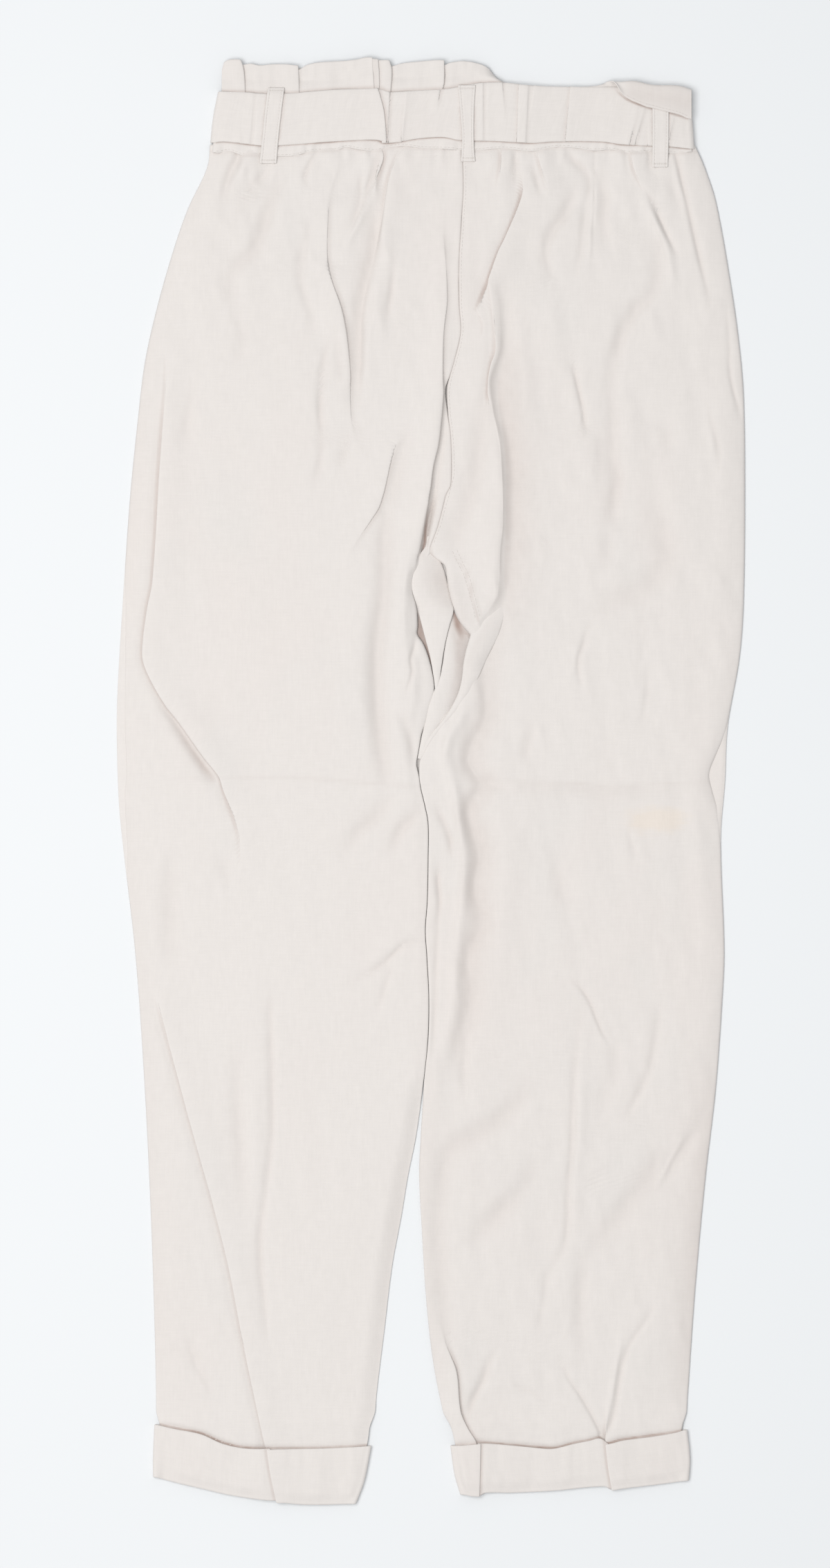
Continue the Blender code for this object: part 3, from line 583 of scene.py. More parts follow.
def linen(name, slub=1.0, stained=False):
    """The trousers' linen: uneven yarn, and shade painted into its creases and gaps."""
    material, tree, shader = new_material(name, Roughness=0.88, Sheen_Weight=0.12, Sheen_Roughness=0.5,
                                          Specular_IOR_Level=0.25)
    flat = add_node(tree, "ShaderNodeUVMap", {"uv_map": "flat_cloth"}).outputs["UV"]
    place = tree.nodes.new("ShaderNodeTexCoord").outputs["Object"]
    weave = add_node(tree, "ShaderNodeGroup", {"node_tree": weave_group}, Flat_Cloth=flat,
                     Threads_per_Metre=THREADS, Slub=slub)
    colour = add_node(tree, "ShaderNodeGroup", {"node_tree": drift_group}, Place=place, Cloth=CLOTH,
                      Warm=CLOTH_WARM, Cool=CLOTH_COOL).outputs["Color"]
    if stained:
        oval = add_node(tree, "ShaderNodeGroup", {"node_tree": stain_group}, Place=place,
                        Middle=STAIN_MIDDLE, Size=STAIN_SIZE)
        colour = mixed(tree, maths(tree, "MULTIPLY", oval.outputs["Mask"], STAIN_STRENGTH), colour, STAIN)
    # Painted shade: each point's tone mixes the colour towards that dim brown where creases, gaps and shadows
    # are.
    crease = add_node(tree, "ShaderNodeAttribute", {"attribute_name": "painted_shade_tone"})
    colour = mixed(tree, crease.outputs["Fac"], colour, PAINTED_SHADE)
    brightness = maths(tree, "MULTIPLY_ADD", weave.outputs["Shade"], 0.05, 1.0)
    seen = add_node(tree, "ShaderNodeHueSaturation", {}, Hue=0.5, Value=brightness, Color=colour)
    bump = add_node(tree, "ShaderNodeBump", {}, Distance=THREAD_HEIGHT, Strength=0.4,
                    Height=weave.outputs["Height"])
    fill(shader, Base_Color=seen.outputs["Color"], Normal=bump.outputs["Normal"])
    return material


panel_linen = linen("panel_linen", stained=True)
belt_linen = linen("belt_linen", slub=1.2)
frill_linen = linen("frill_linen", slub=0.9)
print("materials:", panel_linen.name, belt_linen.name, frill_linen.name)

# %% [markdown]
# ## The outline of the legs
#
# The two backs are cut like any trouser back, straight at the side and hooked at the crotch. What matters
# here is where their edges lie now. Each edge is a short table from the waist down, in millimetres, with
# a row (y, x) wherever the line bends. A curve drawn by hand would do as well, but a table can be read
# and changed.

# %% Edges of the laid panels
SEAM = [
    (462, 22.5), (430, 23.5), (410, 22.3), (375, 20.3), (345, 20.5), (325, 21.5), (305, 17),
    (293, 13.5), (285, 11.7), (265, 12.5), (248, 14.5), (215, 14.5), (208, 11), (198, 8.5),
    (185, 5), (178, 2.5), (170, -0.5), (165, -0.5),
]
OUTER = {
    "left": [
        (462, -159.5), (445, -161.5), (415, -175.5), (385, -186), (345, -197.5), (305, -206.5),
        (265, -211.5), (205, -217.5), (125, -223), (65, -226.5), (35, -227), (-15, -225.5),
        (-55, -221.5), (-115, -214.5), (-170, -210), (-255, -205), (-350, -201), (-465, -198.5),
        (-525, -201)],
    "right": [
        (462, 190), (443, 198.5), (420, 206), (365, 216), (320, 222.5), (280, 226), (215, 227),
        (130, 226), (90, 223), (40, 214.5), (0, 212.5), (-40, 209.5), (-120, 212), (-150, 211),
        (-220, 206), (-285, 198.5), (-360, 191.5), (-430, 186.5), (-467, 184.5), (-525, 186)],
}
INNER = {
    "left": [
        (158, -6), (151, -11.5), (140.5, -13), (130.5, -11.2), (120.5, -9.7), (113, -9.5), (107, -9.8),
        (100.5, -5.5), (90.5, -1.5), (75.5, 2), (65.5, 2.5), (55.5, -0.5), (43, -3.5), (35.5, -6.5),
        (23, -9), (13, -10.5), (5, -8.8), (-4.5, -7.5), (-17, -4.5), (-29.5, -2.2), (-54.5, -2.2),
        (-84.5, -2.7), (-107, -4.2), (-124.5, -3.2), (-154.5, -1.7), (-184.5, -2.2), (-214.5, -5.2),
        (-254.5, -10.5), (-284.5, -16.5), (-314.5, -21.5), (-349.5, -28), (-394.5, -33.5),
        (-439.5, -39), (-479.5, -43), (-525, -55)],
    "right": [
        (162, 3), (157, 9.5), (150, 11.2), (140.5, 12.5), (125.5, 16), (115.5, 21), (106.5, 28.5),
        (98, 35), (90, 36), (83, 32.5), (73, 26), (63, 20.5), (53, 14), (45.5, 8), (33, -0.5),
        (23, -4.5), (15.5, -8), (5, -8.4), (-4.5, -7.1), (-17, -4.1), (-29.5, -1.8), (-54.5, -1.8),
        (-84.5, -2.3), (-107, -3.8), (-124.5, -2.8), (-154.5, -1.3), (-184.5, -1.8), (-214.5, -4.8),
        (-234.5, -6), (-259.5, -7.5), (-284.5, -8.5), (-324.5, -6.5), (-359.5, -4.5), (-394.5, -1.5),
        (-424.5, 2.5), (-454.5, 8.5), (-479.5, 14.5), (-525, 22)],
}
SIDE_SEAM = [  # how far the side seam lies in from the outline: (y, left, right)
    (462, 0, 0), (160, 0, 0), (125, 2.5, 0), (65, 5.5, 0), (42, 6, 0.5), (30, 6.3, 3), (20, 6.5, 7),
    (6, 6.5, 11.5), (-6, 5, 8.5), (-18, 4.5, 4), (-32, 4, 1), (-50, 3, 0), (-75, 0, 0), (-525, 0, 0),
]
print("rows down the left and the right inner leg:", len(INNER["left"]), len(INNER["right"]))

# %% [markdown]
# ## The edges as functions
#
# Near the ankle a leg draws in a little, because it lies inside its cuff. The two legs mirror each other,
# so a sign says which way is inward.

# %% Edges at any height
WAIST_Y, LEG_END_Y = 457.0, -503.0
CUFF_MOUTH_Y = -454.0
LEG_INSET = 3.2  # how far the cloth of a leg draws in inside its cuff
INWARD = {"left": 1, "right": -1}


def leg_inset(side, y):
    return LEG_INSET * ease((CUFF_MOUTH_Y - y) / 14) * INWARD[side]


def outer_edge(side, y):
    return table(OUTER[side], y) + leg_inset(side, y)


def inner_edge(side, y):
    return table(SEAM + INNER[side], y) - leg_inset(side, y)


def side_seam(side, y):
    """How far in from the outline the side seam lies at y."""
    return np.maximum(table(SIDE_SEAM, y, 1 if side == "left" else 2), 0)


print(f"width over the knees: {outer_edge('right', 0) - outer_edge('left', 0):.0f} mm")

# %% [markdown]
# ## How high the cloth lies
#
# Two layers of linen are only a millimetre thick, but air and the stiffness of the cloth hold the upper
# one a few millimetres up. It rolls down at the edges, wide and soft at the side and tighter between the
# legs. `rest_level` gives this smooth pillow, before any fold. Near the waist the lower layer climbs over
# the belt, and at the ankle over the cuff.

# %% Rest level of the upper and the lower layer
LOWER_LAYER = 0.3  # middle of the cloth that lies on the surface
LAYER_GAP = 0.55  # from the lower layer up to the edge of the upper one
LOFT = [  # how high the upper layer stands in its middle: (y, height)
    (462, 2), (448, 3.4), (430, 3.9), (300, 3.8), (160, 4), (40, 3.4), (-200, 3.1), (-420, 2.7), (-468, 1.7),
    (-500, 0.9), (-525, 0.9)]
UNDERLAP = [  # how far the lower layer climbs over belt and cuff: (y, height)
    (470, 1.3), (455, 1.3), (449, 0.9), (438, 0), (-446, 0), (-458, 0.8), (-463, 1.4), (-530, 1.4)]
CROTCH_Y = 158.0  # below it the legs part
SIDE_ROLL, INNER_ROLL, CALF_ROLL = 19.0, 6.0, 11.0
TOUCHING_ROLL = 1.8  # where the two legs lie against each other
EDGE_TURN = 1.6  # width of the tight turn at the very edge


def slope_down(distance, width, tight=0.16):
    """Height share of an edge that slopes gently over width and turns down tightly at its end."""
    return tight * round_over(distance, EDGE_TURN) + (1 - tight) * round_over(distance, width) ** 1.5


def lower_level(y):
    rows = sorted(UNDERLAP)
    return LOWER_LAYER + np.interp(y, [row[0] for row in rows], [row[1] for row in rows])


def edge_share(side, x, y):
    """0 at the free edges of a back panel and 1 where it lies fully open."""
    outer = (x - outer_edge(side, y)) * INWARD[side] - (0 if side == "left" else side_seam(side, y))
    inner = (inner_edge(side, y) - x) * INWARD[side]
    joined = ease((y - CROTCH_Y) / 14)
    above_calf, in_crotch = ease((y + 235) / 30), ease((y - 15) / 25)
    calf = slope_down(inner, CALF_ROLL, 0.2) if side == "right" else ease(inner / 13) ** 0.8
    touching = 0.74 + 0.26 * round_over(inner, TOUCHING_ROLL)
    crotch = slope_down(inner, INNER_ROLL, 0.44)
    inner_slope = calf + above_calf * (touching - calf) + in_crotch * (crotch - touching)
    return slope_down(outer, SIDE_ROLL) * (joined + (1 - joined) * inner_slope)


def rest_level(side, x, y):
    """Middle of the upper layer, before it is folded."""
    return lower_level(y) + LAYER_GAP + edge_share(side, x, y) * table(LOFT, y)


print(f"rest level in the middle of the thigh: {float(rest_level('left', -100.0, 100.0)):.1f} mm")

# %% [markdown]
# ## Where the points go
#
# A panel needs close points where a fold turns back and few where it lies smooth. Equal squares would
# need a million points. So rows and columns crowd where the cloth is busy, by one trick: add up how much
# detail each stretch deserves, and cut that sum into equal shares.

# %% Rows and columns that crowd where the cloth is busy
def equal_shares(places, detail, count):
    """count places, from the first to the last, closer together where detail is high."""
    total = np.concatenate([[0.0], np.cumsum((detail[1:] + detail[:-1]) / 2 * np.diff(places))])
    return np.interp(np.linspace(0, total[-1], count), total, places)


ROW_DETAIL = [  # how close the rows of a leg lie: (y, detail)
    (-525, 1.2), (-490, 1.4), (-484, 3), (-462, 3), (-454, 1.6), (-400, 1), (-20, 1), (10, 1.6), (40, 2.1),
    (170, 2.1), (200, 1.4), (250, 1.1), (420, 1.1), (440, 1.6), (462, 1.8)]


def panel_rows(count):
    fine = np.linspace(LEG_END_Y, WAIST_Y + 4, 2000)
    return equal_shares(fine, table(ROW_DETAIL, fine), count)[::-1]


def runs_down(fold):
    first, last = fold.line[0], fold.line[-1]
    return abs(last[1] - first[1]) > 0.4 * abs(last[0] - first[0])


def panel_grid(left, right, rows, folds, columns):
    """x of each column in each row, between the edges left and right."""
    share = np.linspace(0, 1, 500)
    crowds = [(fold, *fold_position(fold, rows)) for fold in folds if fold.steep <= 6 and runs_down(fold)]
    grid = np.empty((len(rows), columns))
    for r in range(len(rows)):
        fine = left[r] + (right[r] - left[r]) * share
        detail = np.ones_like(fine)
        for fold, x, strength in crowds:
            detail += 5.5 * strength[r] * np.exp(-((fine - x[r]) / (2.6 * fold.steep)) ** 4)
        for edge in (left[r], right[r]):
            detail += 3 * np.exp(-((fine - edge) / 3) ** 2)
        grid[r] = equal_shares(fine, detail, columns)
    return grid


print("eleven rows of a leg:", np.round(panel_rows(11)).astype(int))

# %% [markdown]
# ## The folds of the left back panel
#
# The left leg was smoothed down by hand. Two long pleats stayed along its outer side, where the cloth had
# nowhere to go. Above them, the elastic bunches the seat into gathers that fan out and die away, and the
# edge towards the seat seam has rolled over on itself. Each of these is a fold with a plain name. Side +1
# means that the cloth on the left of someone who walks along the line lies on top.

# %% Left back: the two long pleats, in rows (x, y, lift, tuck)
LEFT_FOLDS = [
    Fold("hem pleat", +1, 2.4, 14, [
        (-206, -135), (-200, -155, 0.9, 0.9), (-195, -175, 1.5, 2.4), (-180, -228, 2.1, 3.7),
        (-150, -340, 1.9, 3.3), (-136, -410, 2, 3.5), (-122, -472, 2.2, 4.4), (-117, -497, 1.5, 3.3)], 0.16),
    Fold("side pleat", +1, 2.2, 16, [
        (-191.5, 322), (-192, 300, 1, 1), (-197, 240, 1.8, 2.2), (-202.5, 146, 2.1, 2.8),
        (-206.5, 124, 2.1, 3), (-209.5, 93, 2.3, 3.4), (-206, 79.5, 2.4, 3.6), (-192, 55, 2.7, 4),
        (-183, 44, 2.8, 4.2), (-164, 17.5, 2.9, 4.4), (-154, 4.5, 2.6, 4), (-151, -6, 2.1, 3.2),
        (-140.5, -37.5, 1.1, 1.6), (-137.5, -55.5, 0.7, 0.9), (-135, -68)], 0.3),
    Fold("twin of the side pleat", +1, 2, 6, [
        (-184, 318), (-186, 300, 0.6), (-189, 286, 0.6, 0.2), (-193, 277, 0.2)]),
    Fold("mouth of the side pleat", +1, 4.5, 3, [
        (-198, 62), (-187, 46, -1.4), (-168, 17, -2.4), (-159, 4, -1.8), (-155, -4)]),
]
print(len(LEFT_FOLDS), "folds on the left back")

# %% Left back: gathers of the seat
LEFT_FOLDS += [
    Fold("valley by the left loop", +1, 3.5, 4, [
        (-136, 462, -1), (-138, 455, -1.8), (-143, 445, -2.3), (-148, 430, -1.9), (-150, 420, -0.8),
        (-153, 405)]),
    Fold("ridge by the left loop", +1, 4, 5, [(-128, 455, 0.8), (-141, 436, 1.9), (-150, 415)]),
    Fold("second valley by the loop", +1, 3, 4, [
        (-113, 452), (-120, 440, -1.3), (-128, 432, -1.6), (-144, 409)]),
    Fold("long hip valley", -1, 5, 6, [
        (-106, 445), (-115, 420, -2.2), (-124, 392, -2.2), (-130, 382, -1.9), (-138, 375, -1.8),
        (-143, 366, -1.1), (-142, 345, -0.8), (-136, 326, -1.1), (-137, 312, -0.8), (-141, 300)]),
    Fold("gather at the edge", +1, 3, 4, [
        (-154, 460, -0.8), (-160, 448, -1.8), (-168, 428, -1.4), (-188, 372, -0.5), (-194, 345)]),
    Fold("short gather", +1, 1.8, 2.5, [(-82, 458, -0.6), (-90, 442, -1.8), (-91, 436, -1.3), (-88.5, 428)]),
    Fold("dart fold", -1, 2.4, 11, [
        (-68, 461, 0.4), (-67, 448, 0.6), (-69.5, 437, 0.8, 0.6), (-72, 420, 1.2, 1.4), (-73, 382, 1.6, 2.2),
        (-70.5, 366, 1.7, 2.4), (-61.5, 338, 1.7, 2.4), (-56.5, 300, 1.4, 2.2), (-56, 264, 1, 1.6),
        (-51, 240, 0.5, 0.7), (-46, 232, 0.2), (-41, 227)], 0.12),
    Fold("seat valley", -1, 3, 7, [
        (-33, 432, -0.8), (-38.5, 400, -2.6), (-42, 380, -3), (-50, 345, -4.1), (-52, 295, -2.7),
        (-53, 265)]),
    Fold("seat ridge", +1, 3.5, 11, [(-24, 445), (-29, 420, 1.2), (-37, 360, 2), (-47, 298, 1), (-47, 275)]),
    Fold("slanted seat ridge", +1, 2, 3, [
        (-36, 441), (-41, 430, 1.3), (-55, 400, 1.9), (-60, 389, 1), (-62, 378)]),
    Fold("line in the seat", +1, 1.8, 2.5, [
        (-50, 442), (-51, 436, -1.1), (-52, 420, -1.4), (-55.5, 406, -1), (-58, 398)]),
    Fold("second line in the seat", +1, 2, 3, [
        (-39, 460, -0.8), (-41, 448, -1.8), (-45, 432, -1.8), (-54, 403)]),
    Fold("strong gather", -1, 2.2, 7, [
        (-33.5, 462, 1.6, 2.5), (-33, 453, 1.8, 3), (-35, 444, 1.8, 3), (-38.5, 433, 1.1, 1.4), (-41, 425)]),
    Fold("crossing gather", +1, 2.2, 10, [
        (-20, 461, 1, 0.6), (-26, 452, 1.4, 1.2), (-33, 432, 1.6, 1.7), (-37, 400, 1, 1), (-42, 370)]),
]
print(len(LEFT_FOLDS), "folds on the left back")

# %% Left back: soft lines and the trough of the thigh
LEFT_FOLDS += [
    Fold("first soft line", -1, 3, 4, [
        (-86, 412), (-89, 396, -1.2), (-94, 365, -1.5), (-86, 338, -0.9), (-83, 322)]),
    Fold("second soft line", +1, 2.5, 3.5, [
        (-73, 326), (-76, 312, -1.1), (-79, 295, -1.6), (-80, 275, -1.9), (-79.5, 238, -1.2),
        (-82, 224, -0.9), (-87, 212)]),
    Fold("third soft line", -1, 3, 4, [(-69, 332), (-67, 315, -1.2), (-65, 298, -1.2), (-65, 282)]),
    Fold("fourth soft line", -1, 2, 3, [(-59, 256), (-61, 244, -1.1), (-64, 234, -1.1), (-69, 225)]),
    Fold("line by the seat seam", -1, 2.5, 3, [(-26, 385), (-27, 368, -1.2), (-29, 350, -1.6), (-33, 328)]),
    Fold("soft line by the side", -1, 4, 5, [
        (-170, 292), (-173, 275, -0.9), (-176, 255, -1.1), (-178, 238)]),
    Fold("crease below the seat", -1, 2.4, 12, [
        (-19, 260), (-21, 250, 0.5, 0.7), (-24.5, 240, 0.9, 1.8), (-33.5, 206, 1.3, 3.1),
        (-38, 194, 1.3, 2.7), (-53, 173, 0.7, 1.1), (-66, 158)], 0.12),
    Fold("hollow beside the crease", +1, 4, 6, [(-15, 262), (-18, 248, -1.1), (-27, 214, -1.9), (-33, 185)]),
    Fold("inner trough", +1, 6, 6.5, [
        (-31, 208), (-33, 190, -2), (-34, 140, -3.1), (-39, 92, -3.6), (-38, 45, -3.4), (-33, 5, -1.8),
        (-30, -8)]),
    Fold("swell beside the trough", -1, 10, 14, [
        (-52, 180), (-52, 140, 0.7), (-54, 90, 1), (-53, 40, 0.8), (-50, 0)]),
]
print(len(LEFT_FOLDS), "folds on the left back")

# %% Left back: inner edge and crotch
LEFT_FOLDS += [
    Fold("rolled inner edge", -1, 5, 15, [
        (6, 425), (10, 345, 1.6), (6, 318, 2.1), (5, 285, 2.4), (-4, 215, 3.3), (-19, 145, 3.1),
        (-19, 100, 2.5), (-14, 80, 2.1), (-14, 60, 1.9), (-18, 35, 1.7), (-18, 5, 1.4), (-11, -40, 0.8),
        (-11, -215, 0.4), (-26, -310, 0.3), (-48, -480, 0.2)]),
    Fold("edge over the seat seam", -1, 1.8, 8, [
        (9, 412), (9.5, 402, 0.4, 0.6), (13, 350, 0.8, 1.2), (10.5, 325, 1, 1.4), (10, 295, 1.2, 1.7),
        (10.5, 280, 1.3, 1.7), (7, 245, 1.5, 1.9), (3, 228, 1.7, 2), (0, 212, 2, 3), (-5, 182, 2.4, 3),
        (-7.5, 166, 1.2, 2), (-11, 152)], 0.1),
    Fold("valley beside the seam", +1, 2, 2.4, [
        (11.5, 300), (10.5, 260, -0.5), (3, 212, -1.3), (0.5, 198, -3.6), (-4, 178, -4.8), (-5.5, 168, -3.6),
        (-8, 158)]),
    Fold("small fold by the leaf", +1, 1.6, 2.2, [
        (-10.5, 110), (-12, 98, -1.1), (-14.5, 89, -1.4), (-13.5, 80, -1.2), (-16, 70, -0.8), (-19, 62)]),
    Fold("hollow at the inner edge", +1, 4, 4, [(-23, 54), (-18, 41, -1.5), (-14, 27, -1.9), (-12, 10)]),
    Fold("first dent below the crotch", -1, 5, 6, [
        (-26, -5), (-33, -17, -1.6), (-42, -27, -2.2), (-52, -36, -1.9), (-66, -58)]),
    Fold("second dent below the crotch", -1, 4, 5, [
        (-3, -16), (-12, -25, -1.9), (-20, -33, -2.2), (-26, -44, -1.5), (-29, -54)]),
]
print(len(LEFT_FOLDS), "folds on the left back")

# %% Left back: knee, calf and ankle
LEFT_FOLDS += [
    Fold("crease behind the knee", +1, 1.8, 2.2, [
        (-2, -115, -0.3), (-18, -117, -1.2), (-33, -130, -1.4), (-42, -136, -1.1), (-62, -145)]),
    Fold("ridge above that crease", +1, 4, 4, [
        (-6, -109), (-16, -111, 1), (-28, -117, 1.1), (-40, -127, 0.8), (-50, -135)]),
    Fold("short line below that crease", -1, 2.5, 3, [
        (-27, -128), (-31, -142, -0.7), (-36, -158, -0.7), (-39, -170)]),
    Fold("dent by the outer side", +1, 7, 8, [
        (-184, -45), (-188, -70, -1.2), (-189, -118, -1.2), (-188, -138)]),
    Fold("end of the side pleat", -1, 5, 6, [(-150, -46), (-149, -62, -0.9), (-147, -80)]),
    Fold("long calf line", -1, 2.6, 3.5, [
        (-117, -148), (-116, -165, -1.1), (-114.5, -248, -1.4), (-119, -295, -1.2), (-122.5, -320, -1.4),
        (-123, -345, -1.5), (-119, -392, -0.7), (-118, -410)]),
    Fold("long calf dent", -1, 5, 6, [(-140, -185), (-140, -215, -1.2), (-137, -275, -1.5), (-131, -320)]),
    Fold("ridge between them", -1, 5, 6, [(-127, -190), (-127, -230, 0.7), (-127, -270, 0.7), (-130, -310)]),
    Fold("ankle line", +1, 3, 4, [
        (-177, -398), (-173, -410, -0.9), (-167, -425, -1.1), (-160, -438, -0.7), (-155, -446)]),
    Fold("short ankle line", +1, 3, 3, [(-192, -402), (-186, -409, -0.8), (-178, -414)]),
    Fold("mouth of the left cuff", +1, 1.3, 2, [
        (-200, -463, -1), (-166, -470.5, -1.3), (-151, -477, -1.3), (-136, -480.5, -1.2), (-96, -481, -0.6),
        (-43, -479, -0.6)]),
]
print(len(LEFT_FOLDS), "folds on the left back")

# %% [markdown]
# ## The folds of the right back panel
#
# The right side took most of the spare cloth. A seat fold runs down from the belt and splits in two.
# Beside it starts the biggest fold, a tongue of cloth that lies over the right leg as far as the crotch.
# Below it the cloth settles into a wavy valley along the inner leg, and two short folds point at the
# cuff.

# %% Right back: seat folds and the tongue
RIGHT_FOLDS = [
    Fold("seat fold", +1, 2.2, 11, [
        (66.5, 448), (65, 430, 1, 1.6), (62.5, 418, 1.7, 3), (53, 393, 2.2, 4), (48.5, 384, 2.2, 4),
        (37.5, 356, 1.8, 2.8), (32, 341, 0.9, 1), (31.5, 333)], 0.5),
    Fold("hook of the seat fold", +1, 1.8, 4, [
        (32.5, 343), (35, 337, 0.8, 0.9), (37, 330, 1, 1.1), (36.5, 322, 0.8, 0.8), (34, 314)]),
    Fold("second seat fold", +1, 2, 5, [
        (41, 367), (41.5, 356, 0.9, 0.9), (44, 325, 1.3, 1.4), (43.5, 311, 1.6, 2), (41, 302, 2.2, 3),
        (38.5, 281, 2, 2.8), (39, 273, 1, 1), (38, 262)]),
    Fold("valley left of the tongue", -1, 6, 8, [
        (40, 285), (38, 268, -1.6), (31, 215, -2.2), (19, 176, -1.4), (17, 160)]),
    Fold("crotch tongue", -1, 4, 16, [
        (45, 378), (51, 316, 1.7, 1.2), (44, 288, 2.3, 1.5), (52, 240, 3.1, 1.8), (54, 190, 3.4, 2),
        (52, 165, 3.2, 2), (50, 145, 2.5, 1.2), (48, 133, 2.4, 1.1), (27, 106, 1, 0.5)], 0.04),
]
print(len(RIGHT_FOLDS), "folds on the right back")

# %% Right back: the valley of the inner leg
RIGHT_FOLDS += [
    Fold("shadow valley", +1, 6, 8.5, [
        (50, 372), (53, 355, -0.9), (55, 316, -1.7), (49, 286, -1.9), (57, 248, -2.3), (60, 225, -2.5),
        (59, 165, -2.5), (56, 140, -2), (50, 118, -1.7), (39, 85, -2.9), (40, 47, -3.4), (29, 24, -3.4),
        (28, 14, -3.4), (37, -2, -2.8), (27, -22, -2.9), (36, -52, -3.2), (32, -76, -2.9), (36, -103, -2.9),
        (28, -126, -2.6), (30, -155, -2.5), (27, -170, -2.1), (22, -186, -2), (10, -225)]),
    Fold("branch at the storage crease", +1, 4, 5, [(36, 4), (42, 0, -2), (50, -3, -2), (57, -7)]),
    Fold("lower branch", +1, 3, 4, [(28, -175), (26, -192, -1.5), (23.5, -214, -1.4), (22, -232)]),
    Fold("inner ridge", +1, 4, 5, [
        (30, 62), (22, 48, 2), (14, 34, 2.8), (10, 20, 2.5), (13, 5, 1.7), (18, -12, 2.5), (24, -60, 2.8),
        (20, -110, 2), (14, -175, 1.2), (8, -205)]),
    Fold("swell right of the valley", +1, 8, 12, [
        (56, 40), (52, 15, 1), (55, -50, 1.5), (48, -130, 1.1), (45, -170)]),
    Fold("curved line by the inner edge", -1, 2.5, 3, [
        (2, -14), (6, -22, -1.4), (11, -32, -1.8), (14.5, -44, -1.8), (14.5, -56)]),
    Fold("long line by the inner edge", -1, 2, 2.6, [
        (6, -55), (5.5, -70, -2), (6.5, -88, -1.7), (5, -105, -1.1), (2.5, -180, -1), (0, -205)]),
]
print(len(RIGHT_FOLDS), "folds on the right back")

# %% Right back: gathers and hip
RIGHT_FOLDS += [
    Fold("gather by the middle loop", +1, 2.2, 7, [
        (46, 462, 1.4, 1.8), (49, 453, 1.6, 2.2), (47.5, 434, 1, 1), (47.5, 424)]),
    Fold("small seat gather", +1, 2.5, 3, [
        (61.5, 459, -0.6), (61, 447, -1.7), (59.5, 436, -1.3), (59, 425)]),
    Fold("seat gather", +1, 1.8, 7, [
        (73.5, 461, 1, 0.9), (78.5, 443, 1.5, 1.5), (84.5, 425, 0.6, 0.4), (89, 421)]),
    Fold("beside the seat gather", +1, 1.6, 2.2, [(73, 450), (74.5, 441, -1.3), (77, 431, -1.3), (79, 423)]),
    Fold("fan over the hip", -1, 2.5, 3.5, [
        (99, 460, -0.6), (103, 450, -1.4), (109, 445, -1.7), (113.5, 437, -1.7), (114, 426, -1.1),
        (112, 414)]),
    Fold("hip trough", -1, 4, 5, [
        (105, 437), (104, 428, -1.1), (96, 409, -2.2), (90, 402, -2.3), (83, 385, -1.8), (84, 374, -1.7),
        (88, 362, -0.8), (90, 348)]),
    Fold("hollow right of the dart", -1, 4, 5, [
        (122, 448), (124, 436, -1.3), (126, 420, -1.9), (125, 405, -1.8), (130, 380)]),
    Fold("hollow left of the dart", -1, 3, 3.5, [
        (113, 428), (112, 412, -1.3), (110, 396, -1.1), (108, 380, -1.1), (106, 364)]),
    Fold("dart line", -1, 0.9, 0.9, [(118.5, 461, -0.7), (118, 415, -0.5), (117, 396)]),
    Fold("end of the dart", -1, 1.6, 1.6, [(116, 412), (115, 398, 0.7), (115, 384, 0.7), (113, 370)]),
    Fold("hip fold", +1, 2.2, 9, [
        (142.5, 462, 1, 1), (145.5, 442, 1.6, 1.7), (158.5, 420, 0.6, 0.1), (163, 411)]),
    Fold("hip ridge", +1, 2.6, 3.5, [
        (150, 428), (156, 417, 1.4), (168, 392, 2), (175.5, 362, 0.7), (177, 346)]),
    Fold("line above the hip ridge", +1, 2, 2.6, [
        (152, 430), (159, 421, -1.3), (170, 397, -1.7), (181, 376)]),
    Fold("long hip valley", -1, 5, 6, [
        (166, 402), (165, 388, -1.3), (163, 360, -1.7), (157, 349, -1.8), (147, 340, -2.1), (136, 317, -2.1),
        (130, 288, -1.4), (132, 268, -1.7), (132, 250, -1.7), (132, 235, -2.2), (135, 222, -2.6),
        (134, 210, -2.5), (132, 198, -1.6), (131, 180)]),
    Fold("line to the edge", +1, 2, 3, [
        (175.5, 462, -1), (178, 450, -1.8), (194, 380, -1.7), (197, 367, -1.1), (200, 354, -0.8),
        (201, 337)]),
    Fold("hollow behind the loop", +1, 4, 4, [(170, 444), (174, 433, -0.9), (178, 421, -1.1), (182, 407)]),
    Fold("right loop gather", +1, 1.4, 4, [(157, 460, -0.8), (157.5, 449, -0.9), (157, 438)]),
    Fold("line where the side rolls", +1, 1.8, 2, [
        (213, 352), (214.5, 335, -0.8), (216, 318, -0.9), (216, 302, -1.1), (218, 287, -1.4),
        (221.5, 273, -1.6), (224.5, 260)]),
    Fold("short line by the side", +1, 2, 3, [(197, 282), (205.5, 250, -1.1), (208, 234, -0.7), (208, 219)]),
]
print(len(RIGHT_FOLDS), "folds on the right back")

